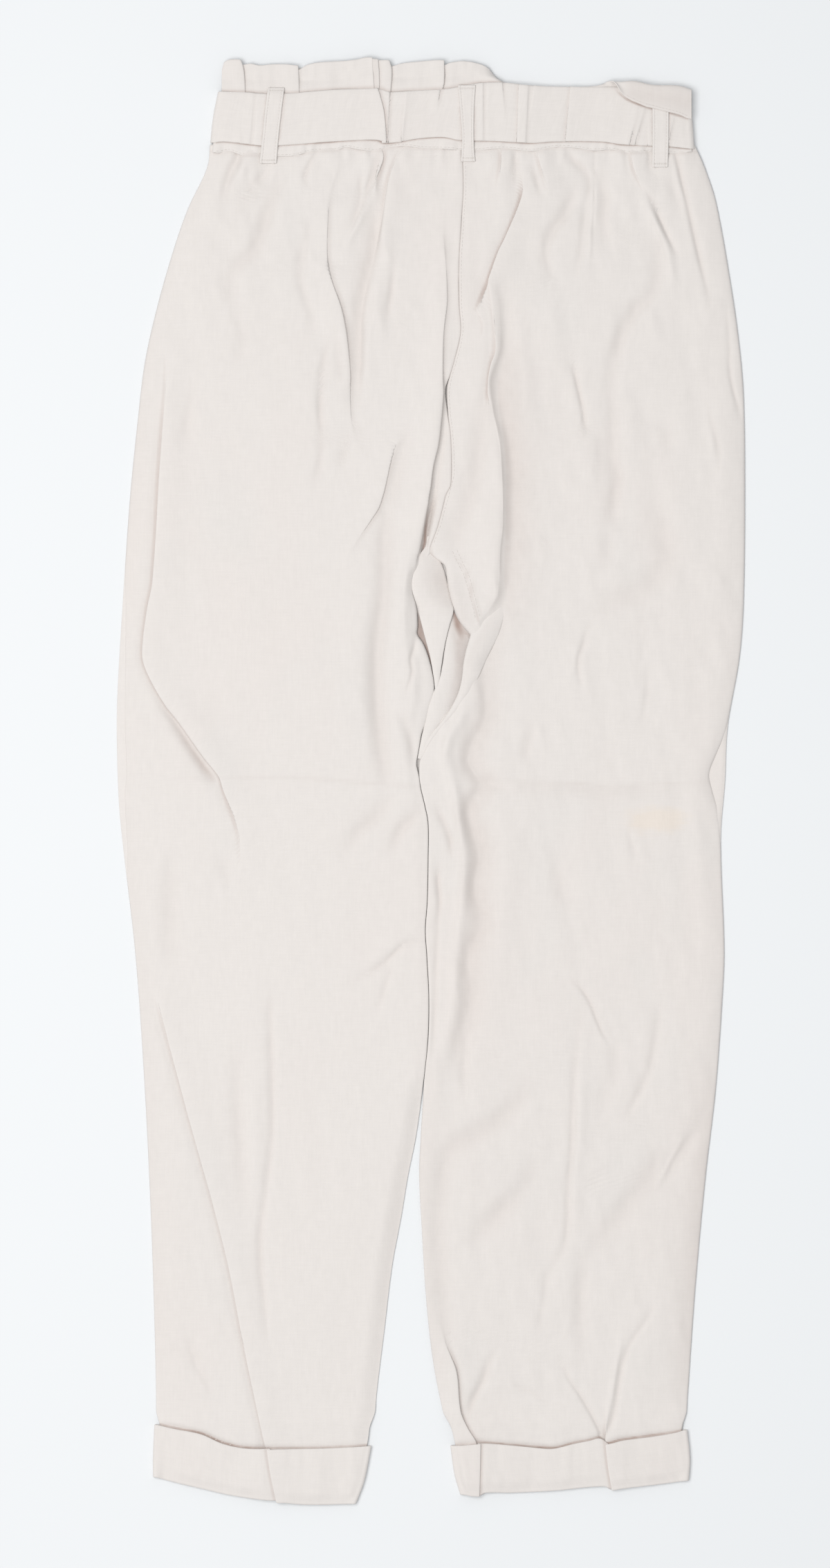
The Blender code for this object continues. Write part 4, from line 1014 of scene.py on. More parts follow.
# %% Right back: thigh and knee
RIGHT_FOLDS += [
    Fold("thigh line", +1, 1.8, 2.4, [
        (101.5, 307), (104, 296, -1.4), (110, 269, -1.7), (111, 257, -1.4), (109.5, 245)]),
    Fold("second hollow in the thigh", +1, 5, 6, [
        (121, 262), (122, 245, -0.9), (124, 228, -0.9), (122, 210)]),
    Fold("hollow by the outer thigh", +1, 6, 7, [(170, 265), (171, 248, -1), (170, 232)]),
    Fold("lower thigh line", +1, 2, 3, [
        (118, 119), (113, 110, -0.7), (110, 99, -1.1), (107, 90, -1.2), (107, 78, -1), (110, 66)]),
    Fold("slanted thigh valley", -1, 8, 9, [
        (161, 208), (166, 187, -1.3), (171, 169, -1.6), (166, 152, -1.7), (152, 139, -1.7), (136, 132, -1.6),
        (113, 118)]),
    Fold("short thigh hollow", -1, 4, 5, [(131, 184), (128, 168, -0.9), (126, 150)]),
    Fold("hollow by the inner thigh", -1, 4, 5, [(76, 49), (70, 24, -1.3), (67, 11)]),
    Fold("faint thigh line", -1, 3, 3, [(158, 86), (156, 60, -0.7), (152, 37)]),
    Fold("faint knee line", +1, 2, 2.5, [(142, -31), (145, -44, -0.7), (150, -60)]),
    Fold("knee hollow", +1, 5, 6, [(86, -41), (90, -60, -0.8), (95, -80, -0.7), (100, -96)]),
    Fold("pressed side fold", -1, 3, 12, [
        (219, 62), (216, 46, 0.7), (212, 33, 1.7), (200, 5, 2.4), (204, -10, 1.7), (208, -30)]),
    Fold("knee mark", +1, 1.6, 2.2, [
        (98, -141), (107, -147, -0.9), (114, -157, -1.5), (123, -179, -1.2), (128, -189)]),
]
print(len(RIGHT_FOLDS), "folds on the right back")

# %% Right back: calf
RIGHT_FOLDS += [
    Fold("long calf line", +1, 2.6, 3.6, [
        (109, -157), (107, -175, -0.7), (103.5, -215, -1.2), (102, -265, -1.3), (99.5, -290, -1.2),
        (97, -333, -1), (85, -356, -0.7), (82, -372, -0.6), (79, -390, -0.6), (80, -406)]),
    Fold("ridge beside the calf line", +1, 3, 5, [
        (112, -170), (109, -200, 0.8), (107.5, -240, 1.1), (105, -280, 1), (104, -315, 0.7), (103, -335)]),
    Fold("upper calf hollow", -1, 5, 7, [(131, -169), (134, -202, -1.1), (126, -232, -0.8), (122, -258)]),
    Fold("calf curve", -1, 3, 4, [
        (168, -150), (165, -168, -0.8), (158.5, -208, -1.4), (146, -234, -1.1), (140, -248)]),
    Fold("slanted calf valley", +1, 8, 9, [
        (172, -262), (165, -272, -1.4), (148, -298, -2.2), (128, -324, -1.6), (111, -347)]),
    Fold("second slanted valley", +1, 5, 7, [
        (200, -240), (194, -250, -1.5), (176, -274, -1.7), (168, -288, -1.2), (160, -302)]),
    Fold("ridge between the valleys", +1, 2, 2.5, [(186, -249), (170, -280, 1), (160, -299)]),
    Fold("inner calf valley", -1, 7, 8, [
        (76, -208), (70, -220, -1.3), (52, -243, -2.2), (16, -265, -2.2), (10, -276, -2.2), (6, -320, -2.2),
        (10, -395, -1.9), (13, -410)]),
    Fold("lower inner valley", -1, 7, 8, [
        (73, -266), (72, -282, -1.5), (65, -296, -2), (44, -318, -2), (34, -327, -1.3), (27, -338)]),
    Fold("lower middle hollow", -1, 6, 6, [(111, -333), (110, -350, -1.3), (108, -392, -1.4), (113, -426)]),
]
print(len(RIGHT_FOLDS), "folds on the right back")

# %% Right back: ankle and cuff
RIGHT_FOLDS += [
    Fold("inner ankle fold", -1, 2.2, 9, [
        (4, -382), (11, -403, 1.4, 1.1), (19.5, -424, 2.3, 2.6), (22.5, -454, 2.4, 3), (27.5, -466, 2.4, 3),
        (34.5, -478, 2.2, 2.7), (38, -500, 1.4, 1.6)], 0.22),
    Fold("ankle trough", -1, 2.6, 3.5, [
        (47, -408), (43, -418, -1.2), (39, -430, -1.8), (28.5, -452, -1.8), (27, -463)]),
    Fold("faint ankle line", -1, 2, 2, [(58, -435), (66, -438, -0.7), (76, -443, -0.7), (85, -450)]),
    Fold("left arm of the cuff notch", +1, 1.6, 2.4, [
        (90, -413), (95, -422, -0.7), (101, -433, -1), (108.5, -444, -1.2), (121, -467, -1.5),
        (124, -480, -1.2)]),
    Fold("right arm of the cuff notch", -1, 2, 3, [
        (164, -374), (157, -387, -0.8), (141.5, -412, -1.1), (132.5, -457, -1.4), (127.5, -473, -1.4)]),
    Fold("ridge between the arms", -1, 2, 2.6, [
        (141, -392), (137, -405, 0.6), (127.5, -468, 0.9), (126.5, -492)]),
    Fold("mouth of the right cuff", +1, 1.3, 2, [
        (14, -479, -0.7), (37, -477, -0.8), (88, -481, -1.2), (103, -477.5, -0.8), (115, -475, -0.7),
        (122, -473.5, -0.7), (126, -477.5, -0.7), (138, -475, -1.1), (176, -469.5, -0.8),
        (185, -467, -0.7)]),
    Fold("notch pleat", +1, 2, 8, [
        (128, -442), (126, -460, 0.8, 0.9), (124.5, -475, 1.4, 2.1), (127, -500, 1.1, 1.5)]),
]
print(len(RIGHT_FOLDS), "folds on the right back")

# %% [markdown]
# ## The shades of the back panels
#
# All of these are shade painted into the colour. The darkest lines are the slits at the cuffs and beside
# the seat seam. The wide ones are faint: where a leg turns away from the light, and where the tongue
# throws its shadow.

# %% Left back: shades, in rows (x, y, tone)
BAND_SEAM = [  # lower seam of the casing, where the elastic draws it up and down: (x, y)
    (-162, 457.5), (-154, 455), (-145, 456.2), (-137, 453.5), (-125, 453.5), (-101.5, 452.5), (-86.5, 455.8),
    (-66.5, 457.3), (-61.5, 459), (-51.5, 457.3), (-39, 456.2), (-33, 458.5), (-19, 459.8), (-6.5, 458.3),
    (8.5, 457.8), (30, 456.5), (48.5, 458), (58.5, 457.6), (66, 456.6), (76, 456.4), (88.5, 459),
    (103.5, 458.6), (118, 456.6), (130, 457.2), (144, 454.8), (160, 455.8), (176, 454.6), (192, 456.5)]
LEFT_SHADES = [
    Shade("wedge of the side pleat", +1, 3.4, 2.2, [
        (-195, 57), (-167.5, 16, 0.32), (-159, 5, 0.28), (-154, 0)]),
    Shade("storage crease", -1, 1.2, 1.8, [
        (-205, 4), (-150, 3.5, 0.05), (-100, 3.5, 0.07), (-30, -1.5, 0.08), (-3, -2.5, 0.05)]),
    Shade("band on the outer thigh", +1, 6, 9, [
        (-180, 420), (-196, 370, 0.05), (-208, 310, 0.06), (-220, 180, 0.05), (-225, 100, 0.04),
        (-226, 20, 0.04), (-210, -170, 0.06), (-204, -280, 0.06), (-200, -400, 0.05), (-199, -460)]),
    Shade("band on the inner calf", -1, 4, 7, [(-8, -230), (-26, -340, 0.07), (-42, -470, 0.02)]),
    Shade("slit beside the seat seam", +1, 1.2, 1.4, [
        (-1.5, 202), (-4, 183, 0.95), (-4.5, 174, 1), (-6, 167, 0.7), (-8, 160)]),
    Shade("gap of the left cuff", +1, 1.8, 0.7, [
        (-200, -463, 0.5), (-186, -466.5, 0.75), (-166, -470.5, 1), (-151, -477, 1), (-136, -480.5, 0.95),
        (-121, -481, 0.7), (-72, -480.5, 0.6), (-43, -479, 0.5)]),
    Shade("seam under the elastic", -1, 1.5, 1.3, [(x, y - 0.4, 0.15) for x, y in BAND_SEAM if x < 24]),
]
print("shades of the left back:", len(LEFT_SHADES))

# %% Right back: shades
RIGHT_SHADES = [
    Shade("gap of the right cuff", +1, 1.8, 0.7, [
        (14, -479, 0.3), (28, -478, 0.4), (37, -477, 0.7), (88, -481, 1), (103, -477.5, 0.8),
        (115, -475, 0.7), (122, -473.5, 0.9), (126, -477.5, 1), (138, -475, 1), (176, -469.5, 0.7),
        (185, -467, 0.5)]),
    Shade("seam under the elastic", -1, 1.5, 1.3, [(x, y - 0.4, 0.15) for x, y in BAND_SEAM if x > 20]),
    Shade("shadow of the tongue", +1, 1.6, 17, [
        (51, 335), (51.5, 300, 0.13), (49, 285, 0.17), (54.5, 240, 0.21), (55, 190, 0.2), (54, 155, 0.17),
        (54, 125, 0.1), (50, 95)]),
    Shade("shadow on the flap", +1, 1, 13, [(9, 160), (16, 130, 0.08), (23, 115, 0.08), (30, 106)]),
    Shade("knot where four seams meet", -1, 0.9, 1.6, [
        (0.5, 168.5, 0.1), (1, 164.5, 0.35), (3.5, 160.5, 0.45), (7, 159, 0.4), (9.5, 157)]),
    Shade("shadow in the valley", +1, 9, 11, [
        (60, 200), (58, 150, 0.05), (40, 80, 0.13), (40, 50, 0.15), (30, 26, 0.16), (30, 10, 0.16),
        (37, -2, 0.15), (28, -22, 0.16), (35, -48, 0.17), (32, -76, 0.16), (35, -100, 0.16),
        (29, -126, 0.15), (29, -155, 0.13), (24, -180, 0.1), (15, -205, 0.05), (10, -225)]),
    Shade("band on the inner calf", +1, 5, 9, [
        (-4, -180), (-4, -230, 0.05), (-5, -290, 0.09), (2, -400, 0.07), (10, -440)]),
    Shade("band on the outer calf", -1, 5, 12, [
        (208, -180), (202, -240, 0.09), (197, -300, 0.13), (190, -370, 0.13), (186, -420, 0.11),
        (184, -455)]),
    Shade("band under the storage crease", -1, 2, 8, [(45, -3), (70, -1, 0.06), (130, -5, 0.06), (200, -2)]),
    Shade("storage crease", -1, 1.2, 1.8, [
        (40, 0), (60, 0.5, 0.08), (100, -0.5, 0.1), (130, -2.5, 0.08), (200, 0.5, 0.05)]),
    Shade("seam of the thigh", +1, 1.1, 1.1, [
        (15, 168), (19.5, 161, 0.14), (24, 154, 0.2), (34, 118, 0.24), (35, 112)]),
    Shade("stitches beside it", +1, 1.1, 1.1, [(20, 168), (25.5, 158, 0.08), (36.5, 121, 0.1), (37.5, 116)]),
]
print("shades of the right back:", len(RIGHT_SHADES))

# %% [markdown]
# ## Unrest
#
# Between the folds no cloth is quite smooth. Slow waves, streaks along the leg, crumples and tiny ripples
# below the elastic are laid over each other, each a noise of its own size. A line across the thighs was
# pressed in while the trousers lay folded in half.

# %% Small hills that nobody folded, and the pressed line
STORAGE_CREASE = [  # where the trousers lay folded in half: (x, y) right across both legs
    (-226, 4), (-150, 3), (-100, 3), (-60, 0), (-30, -2), (0, -3), (60, 0), (100, -1), (130, -3), (160, -2),
    (208, 0)]
BUSY = {  # higher where the cloth was never smoothed down: (y, busy)
    "left": [(-510, 0.6), (-100, 0.4), (200, 0.4), (300, 1.0), (460, 1.5)],
    "right": [(-510, 1.0), (-100, 1.0), (200, 1.2), (460, 1.3)]}


def unrest(x, y, seed, busy):
    """Slow dents, streaks along the leg, crumples and waist ripples, in millimetres."""
    slow = noise(x, y, 42, 60, seed) * 0.35
    streaks = noise(x + 0.12 * y, y, 12, 60, seed + 1) * 0.42 + noise(x, y, 6, 34, seed + 5) * 0.13
    crumples = (0.4 - np.hypot(noise(x + 0.2 * y, y, 14, 27, seed + 2), 0.1)) * 0.9
    fine = noise(x, y, 5, 9, seed + 3) * 0.15
    at_waist = np.clip((y - 415) / 42, 0, 1) ** 2
    ripples = noise(x, y, 4.2, 30, seed + 4) * at_waist
    return slow + (streaks + crumples + fine) * busy + ripples


def storage_crease(x, y):
    """A faint sharp line across the thighs, with a softer one below it."""
    line = table(STORAGE_CREASE, x)
    pressed = np.exp(-(((y - line) / 1.7) ** 2)) + 0.4 * np.exp(-(((y - line + 6) / 6) ** 2))
    return -0.42 * pressed * (0.6 + 0.4 * noise(x, y, 30, 30, 7))


print(f"depth of the pressed line at one place: {storage_crease(100.0, -1.0):.2f} mm")

# %% [markdown]
# ## Building the back panels
#
# A panel starts as a flat grid. It is lifted to its rest level, each fold moves it in turn, and the
# unrest is added. At the free edges everything fades, so that the outline stays as measured.

# %% Back panels
PANEL_ROWS, PANEL_COLUMNS = 421, 185
SEAM_GAP = 0.15  # half the gap between the two backs
SEAM_DIP, SEAM_TONE = 0.35, 0.12
PANEL_SEEDS = {"left": 11, "right": 23}


def back_panel(side, folds, shades):
    y = panel_rows(PANEL_ROWS)
    near_side = outer_edge(side, y) + side_seam(side, y) * INWARD[side]
    near_seam = inner_edge(side, y) - SEAM_GAP * INWARD[side]
    left, right = (near_side, near_seam) if side == "left" else (near_seam, near_side)
    x = panel_grid(left, right, y, folds, PANEL_COLUMNS)
    y = np.broadcast_to(y[:, None], x.shape)
    share = edge_share(side, x, y)
    ends = ease((y - LEG_END_Y + 2) / 25) * ease((WAIST_Y + 3 - y) / 12 + 0.3)
    sheet = sheet_points(x, y, rest_level(side, x, y))
    for fold in folds:
        fold_cloth(sheet, fold, share * ends)
    hills = unrest(x, y, PANEL_SEEDS[side], table(BUSY[side], y)) * ends + storage_crease(x, y)
    seam = np.exp(-(((x - inner_edge(side, y)) / 0.9) ** 2)) * ease((y - CROTCH_Y) / 14)
    sheet[..., 2] += hills * share - SEAM_DIP * seam
    # Shade is painted into the groove of the seam between the two backs.
    sheet[..., 3] = np.maximum(sheet[..., 3], SEAM_TONE * seam)
    shade_cloth(sheet, shades)
    sheet[..., 2] = np.maximum(sheet[..., 2], lower_level(y) + LAYER_GAP - 0.05)
    return cloth_shell("back_" + side, sheet, flat_places(x, y), coarse_under=True)


pieces = {}
pieces["back_left"] = back_panel("left", LEFT_FOLDS, LEFT_SHADES)
pieces["back_right"] = back_panel("right", RIGHT_FOLDS, RIGHT_SHADES)

# %% [markdown]
# ## The front panels
#
# The fronts lie underneath, face down. Little of them shows: a band along the left thigh, where the side
# seam has slipped to the back, and a wedge beside the right knee. A front turns round the side of the leg
# and comes back over the top as far as the side seam, so the leg reads as one tube of cloth.

# %% One row of a front panel
LIP = 1.6  # how far the front reaches under the edge of the back
WEDGE_LEVEL = 1.1  # how high the wedge beside the knee lies
CENTRE_FRONT = [  # (y, x) of the front's seat seam and, below it, of the left inner leg
    *SEAM[:3], (375, 20.3), (300, 20), (200, 16), (160, 12), (120, 9), (60, 0), *INNER["left"][18:]]
OVER, ROUND, ACROSS = 12, 5, 46  # points over the top, round the edge and across underneath


def lip_level(side, x, y):
    """The front where it comes round the side: just under the back, or flat beside the knee."""
    outer = (x - outer_edge(side, y)) * INWARD[side]
    rolled = lower_level(y) + slope_down(outer, SIDE_ROLL) * table(LOFT, y)
    if side == "left":
        return rolled
    tall = ease((side_seam(side, y) - 1) / 4)
    return rolled * (1 - tall) + tall * (lower_level(y) + WEDGE_LEVEL * round_over(outer, 3))


def front_section(side, y):
    """x and level of one row of a front panel, from the side seam round the edge and across."""
    sign = INWARD[side]
    edge = float(outer_edge(side, y))
    over = np.linspace(float(side_seam(side, y)) + LIP, 0.5, OVER)
    top = np.array([float(lip_level(side, edge + sign * d, y)) for d in over])
    level = float(lower_level(y))
    turn = np.linspace(0.0, math.pi, ROUND + 2)[1:-1]
    radius = (top[-1] - level) / 2
    turn_x = edge + sign * (0.5 - 0.5 * np.sin(turn))
    turn_z = level + radius + radius * np.cos(turn)
    centre = float(table(CENTRE_FRONT, y)) if y > -205 else float(inner_edge(side, y))
    centre -= sign * 0.2
    across = edge + sign * 0.5 + (centre - edge - sign * 0.5) * (1 - np.linspace(1, 0, ACROSS) ** 2.2)
    x = np.concatenate([edge + sign * over, turn_x, across])
    return x, np.concatenate([top, turn_z, np.full(ACROSS, level)])


print("points in a row of a front:", len(front_section("left", 0.0)[0]))

# %% [markdown]
# ## Building the front panels
#
# A row is unrolled for the map: its steps are added up as they go round the edge. Hidden cloth only gets
# a little unrest, and inside the gap between the legs shade is painted into its colour.

# %% Front panels
FRONT_ROWS = 220
FRONT_SEEDS = {"left": 37, "right": 41}
# Painted shade where the fronts show in the dark gaps between the legs
GAP_SHADES = [
    Shade("gap left of the leaf", +1, 5, 5, [
        (-8.5, 126), (-8, 118, 0.8), (-7.5, 108, 0.85), (-4.5, 98, 1), (-1, 88, 1), (1.5, 78, 0.7), (3, 66)]),
    Shade("inside of the crotch", +1, 5, 5, [(17, 126, 0.8), (17.5, 116, 0.9), (19, 106, 0.6), (19, 94)]),
]


def front_panel(side):
    rows = np.linspace(WAIST_Y, LEG_END_Y, FRONT_ROWS)
    sections = [front_section(side, y) for y in rows]
    x = np.array([section[0] for section in sections])
    z = np.array([section[1] for section in sections])
    y = np.broadcast_to(rows[:, None], x.shape)
    steps = np.hypot(np.diff(x, axis=1, prepend=x[:, :1]), np.diff(z, axis=1, prepend=z[:, :1]))
    hidden = ease((np.arange(x.shape[1]) - OVER - ROUND - 1) / 8)
    ripple = np.maximum(unrest(x, y, FRONT_SEEDS[side], 0.3), 0) * 0.6 * hidden
    sheet = sheet_points(x, y, z + ripple)
    shade_cloth(sheet, GAP_SHADES)
    return cloth_shell("front_" + side, sheet, flat_places(np.cumsum(steps, 1), y))


pieces["front_left"] = front_panel("left")
pieces["front_right"] = front_panel("right")

# %% [markdown]
# ## Rings of cloth, pressed flat
#
# Waistband, belt and cuffs are closed rings. Laid down, each has an upper and a lower run that meet in a
# tight turn at both ends. One function shapes all four, round from the left end of the upper run.

# %% A flat-pressed ring
RUN_COLUMNS, TURN_COLUMNS, UNDER_COLUMNS = 260, 9, 60
Ring = namedtuple("Ring", "ends top bottom low end_level rows thickness")


def flat_ring(name, ring, high, folds, shades=(), crowd=1.0):
    """The ring's ends are rows (depth, left x, right x). high(x, y) gives the level of the upper run.
    With crowd below 1 the rows lie closer together at the bottom."""
    depth = np.linspace(0, 1, ring.rows) ** crowd
    left, right = table(ring.ends, depth, 1), table(ring.ends, depth, 2)
    radius = (ring.end_level - ring.low) / 2
    first, last = left + ring.thickness / 2 + radius, right - ring.thickness / 2 - radius
    edge_y = lambda x, d: table(ring.top, x) * (1 - d) + table(ring.bottom, x) * d
    mid_y = np.array([float(edge_y((a + b) / 2, d)) for a, b, d in zip(first, last, depth)])
    x = panel_grid(first, last, mid_y, folds, RUN_COLUMNS)
    y = edge_y(x, depth[:, None])
    near_end = ease((x - first[:, None]) / 6) * ease((last[:, None] - x) / 6)
    run = sheet_points(x, y, ring.end_level + (high(x, y) - ring.end_level) * near_end)
    for fold in folds:
        fold_cloth(run, fold, near_end)
    shade_cloth(run, shades)
    angle = np.linspace(0, math.pi, TURN_COLUMNS + 2)[1:-1]

    def turn(x0, sign, order):
        turn_x = x0[:, None] + sign * radius * np.sin(order)
        return sheet_points(turn_x, edge_y(x0, depth)[:, None], ring.low + radius + radius * np.cos(order))

    under_x = last[:, None] + (first - last)[:, None] * np.linspace(0, 1, UNDER_COLUMNS)
    under = sheet_points(under_x, edge_y(under_x, depth[:, None]), ring.low)
    middle = np.concatenate([run, turn(last, 1, angle), under, turn(first, -1, angle[::-1])], 1)
    step = np.linalg.norm(np.diff(middle[..., :3], axis=1, append=middle[:, :1, :3]), axis=-1)
    along = np.cumsum(np.column_stack([np.zeros(ring.rows), step]), axis=1)
    return cloth_shell(name, middle, flat_places(along, mid_y[:, None]), ring.thickness, ring=True)


print("columns round a ring:", RUN_COLUMNS + UNDER_COLUMNS + 2 * TURN_COLUMNS)

# %% [markdown]
# ## The elastic casing
#
# An elastic band runs through a casing at the waist and gathers the back. Only a narrow strip of it shows
# below the belt. Its puckers are a narrow random wave, strongest at the lower seam.

# %% Waistband
BAND_LOW, BAND_HIGH = 1.8, 5.7
BELT_ENDS = [(0, -154, 187), (0.5, -157.5, 189), (1, -159.5, 190.5)]
BAND_ENDS = [(depth, left + 1.4, right - 1.4) for depth, left, right in BELT_ENDS]
BAND_TOP = [(-170, 494.6), (-121, 494), (-36, 495.6), (9, 496.5), (192, 496.5)]
BELT_BOTTOM = [
    (-160, 461.5), (-151, 463), (-139, 462), (-121, 460), (-110, 460.2), (-91, 461.5), (-71, 463), (-51, 464),
    (-39, 464), (-34, 462), (-21, 463), (-11, 465), (8.5, 466.3), (21, 464), (46, 463.4), (73, 462),
    (88, 463), (123, 463), (138, 461), (158, 460), (172, 459.4), (192, 457.4)]
# The shadow of the belt's lower edge is painted onto the casing.
CASING_SHADES = [
    Shade("shadow of the belt", -1, 4, 0.9, [
        (x, y, (0.95, 0.6, 0.8)[k % 3]) for k, (x, y) in enumerate(BELT_BOTTOM)]),
]


def casing_level(x, y):
    below = ease((470 - y) / 14)
    puckers = noise(x, y, 3.4, 40, 51) * 0.8 + noise(x, y, 8, 40, 52) * 0.6
    return BAND_HIGH + below * puckers - 0.9 * ease((table(BAND_SEAM, x) + 2.5 - y) / 3)


casing = Ring(BAND_ENDS, BAND_TOP, BAND_SEAM, BAND_LOW, BAND_HIGH, rows=30, thickness=0.7)
pieces["waistband"] = flat_ring("waistband", casing, casing_level, [], CASING_SHADES, crowd=0.5)

# %% [markdown]
# ## The belt
#
# The belt is the same linen, doubled, and the gathers under it press small tucks into it. They are short
# folds like those of the legs, so a loop makes each from one row: a side, the width of the gentle slope,
# and the place and tuck at the top and at the foot.

# %% Tucks of the belt
BELT_TUCKS = [  # (side, gentle side, top x, y and tuck, foot x, y and tuck)
    (+1, 6, -132.5, 497, 0.5, -134, 472, 0), (-1, 4, -127.6, 497, 0.6, -130.5, 461, 0.6),
    (+1, 5, -125.6, 497, 0.5, -128, 461, 0.6), (-1, 5, -139, 478, 0, -137, 461, 0.7),
    (-1, 3, -28.5, 499, 1.4, -30, 462, 1), (+1, 5, -19, 496, 0.4, -22.6, 463, 0.8),
    (-1, 3, -17, 496, 0.3, -20.4, 463, 0.6), (-1, 5, 8.7, 502, 1.6, 3.5, 484, 0),
    (-1, 4, 38.2, 506, 0.8, 38.2, 463, 0.7), (+1, 4, 40.6, 506, 0.5, 40.6, 463, 0.2),
    (-1, 5, 52.5, 506, 1, 53.5, 472, 0), (+1, 6, 62.5, 505, 1.1, 61, 462, 1),
    (-1, 5, 71, 505, 0.6, 69, 463, 0.7), (+1, 5, 74, 503, 0.7, 70.8, 472, 0),
    (+1, 7, 100, 505, 1.2, 96, 463, 1.4), (-1, 5, 151, 492, 0.2, 144.5, 461, 1.1),
    (-1, 4, 156, 492, 0.3, 148.5, 461, 1.1), (+1, 4, 157.5, 488, 0.2, 156, 461, 0.9),
    (-1, 5, 177, 490, 0.3, 172.5, 461, 1),
]
BELT_FOLDS = [
    Fold("deep tuck", -1, 1.6, 7, [(-37, 502, 0.8, 1.6), (-33.5, 485, 1, 2.4), (-32.3, 462, 1, 2.6)])]
for side, gentle, *ends in BELT_TUCKS:
    run = [(x, y, tuck * (1.1 - 0.42 * tuck), tuck) for x, y, tuck in np.linspace(ends[:3], ends[3:], 4)]
    BELT_FOLDS.append(Fold("belt tuck", side, 1.2, gentle, run))
print("tucks in the belt:", len(BELT_FOLDS))

# %% [markdown]
# The loops come later, but shade is painted on the belt along both their sides, so their edges are needed
# here. Shade is painted under the flap of the frill as well. The belt swells between the gathers and dips
# along its two sewn edges.

# %% Belt
BELT_LOW, BELT_HIGH = 0.5, 7.0
BELT_TOP = [
    (-160, 499), (-134, 498.3), (-121, 497.2), (-101, 497.5), (-90, 498.5), (-71, 500), (-36, 500.8),
    (-31, 498.5), (-11, 499.5), (9, 500.5), (16, 501.5), (34, 504.8), (52, 505.3), (68, 503.5), (88, 502.5),
    (130, 502), (170, 501), (192, 499)]
LOOPS = {  # the belt loops: (y, left edge, right edge)
    "belt_loop_left": [
        (501.5, -117.5, -106), (485.5, -119.5, -108), (465.5, -121.5, -110.3), (450, -123.3, -111.6),
        (447.4, -123.5, -111.8)],
    "belt_loop_centre": [
        (503.2, 19.8, 32), (485.5, 21.4, 30.9), (465.5, 22.8, 30.7), (455, 22.4, 31.2), (448.8, 21.9, 31.8)],
    "belt_loop_right": [(498.5, 160, 171.6), (470, 160.3, 171.4), (444.6, 160.1, 171)],
}
# Painted shadows on the belt: under the flap of the frill, and along both sides of each loop
BELT_SHADES = [
    Shade("under the flap", -1, 1, 0.8, [
        (132, 501), (141, 493.5, 0.7), (156, 487.5, 0.85), (179, 481.5, 0.6), (189, 478.5, 0.6)]),
]
for sides in LOOPS.values():
    seen = [row for row in sides if 458 < row[0] < 503]
    BELT_SHADES.append(Shade("right of a loop", +1, 2, 1.3, [(right, y, 0.36) for y, _, right in seen]))
    BELT_SHADES.append(Shade("left of a loop", -1, 2, 1, [(left, y, 0.26) for y, left, _ in seen]))


def belt_level(x, y):
    swell = noise(x, y, 15, 60, 61) * 0.45 + noise(x, y, 5, 30, 62) * 0.16 + 0.25
    inside = np.minimum(table(BELT_TOP, x) - y, y - table(BELT_BOTTOM, x))
    return BELT_HIGH + swell - 0.45 * np.exp(-(inside / 1.6) ** 2)


belt = Ring(BELT_ENDS, BELT_TOP, BELT_BOTTOM, BELT_LOW, BELT_HIGH, rows=38, thickness=0.9)
pieces["belt"] = flat_ring("belt", belt, belt_level, BELT_FOLDS, BELT_SHADES)

# %% [markdown]
# ## The frill
#
# Above the casing the cloth stands free as a doubled strip, 25 mm high. On the left it lies flat, in
# pleats. Near the middle it turns over backwards and slips inside the waist, and at the right it comes up
# again and falls over the belt as a flap. It is built as the one strip it is: along it, tables give the
# place and level of the crest, the angle by which the cloth turns over, the depth of that turn, and how
# much cloth lies beyond it.

# %% Frill: rows (x, value), with the turn in degrees
Strip = namedtuple("Strip", "ends crest level turn depth beyond foot")
FRILL_TOP = [
    (-151, 515), (-149.5, 520), (-145.5, 522), (-140, 521.8), (-136.5, 519), (-134.5, 518.8), (-130, 519.3),
    (-124, 518), (-111.5, 519), (-97, 517.5), (-94.4, 515), (-92, 517), (-89, 518.5), (-81.5, 520),
    (-66.5, 521), (-54, 522), (-46.5, 523.6), (-39, 522), (-32, 520.8), (-29, 517.5), (-26, 518),
    (-21.5, 519.5), (-11.5, 520.5), (6, 521.6), (9, 520.6), (10.6, 518), (13, 519.6), (23.5, 521)]
FRILL = Strip(
    ends=(-151, 188),
    crest=[(-151, 508), (-97, 507), (-66, 508), (-43, 510), (-28, 509), (24, 510), (34, 510), (41, 509),
           (45, 508), (53, 505), (66, 503), (104, 502), (126, 503.4), (145, 505.8), (160, 502.9),
           (179, 502.2), (188, 499.6)],
    level=[(-151, 4.6), (-139, 5.4), (-134, 4.4), (-112, 4.8), (-97, 5), (-92, 4.2), (-66, 5), (-43, 6),
           (-34, 5.2), (-28, 4.2), (-4, 5), (7, 5.6), (12, 4.6), (24, 5.2), (34, 6), (41, 7), (45, 7),
           (49, BAND_HIGH + 0.8), (53, BAND_HIGH), (58, BAND_HIGH), (188, BAND_HIGH)],
    turn=[(24, 0), (34, -8), (41, -28), (45, -60), (49, -95), (53, -140), (58, -180), (118, -180),
          (122, -120), (126, -50), (129.5, 40), (133, 110), (137, 165), (141, 180), (188, 180)],
    depth=[(24, 1.3), (34, 1.4), (41, 1.6), (45, 1.6), (53, 1.3), (126, 1.3), (129.5, 1.7), (133, 2.4),
           (137, 3.2), (145, 3.8), (160, 4.2), (173, 4.2), (188, 3.2)],
    beyond=[(34, 8), (41, 6.5), (45, 4.5), (49, 2.6), (53, 2), (58, 3.5), (66, 12), (84, 15), (104, 12),
            (112, 6), (118, 2.5), (122, 1.2), (126, 1.4), (129.5, 1.2), (133, 3.2), (137, 7.4), (141, 11),
            (145, 13.6), (149.5, 14.9), (156, 16), (160, 16), (166, 17.2), (173, 18.9), (179, 20), (185, 21),
            (188, 20.4)],
    foot=[(-151, 496), (-121, 495), (-36, 496.8), (9, 498), (45, 500.5), (54, 499), (120, 498), (188, 497)])
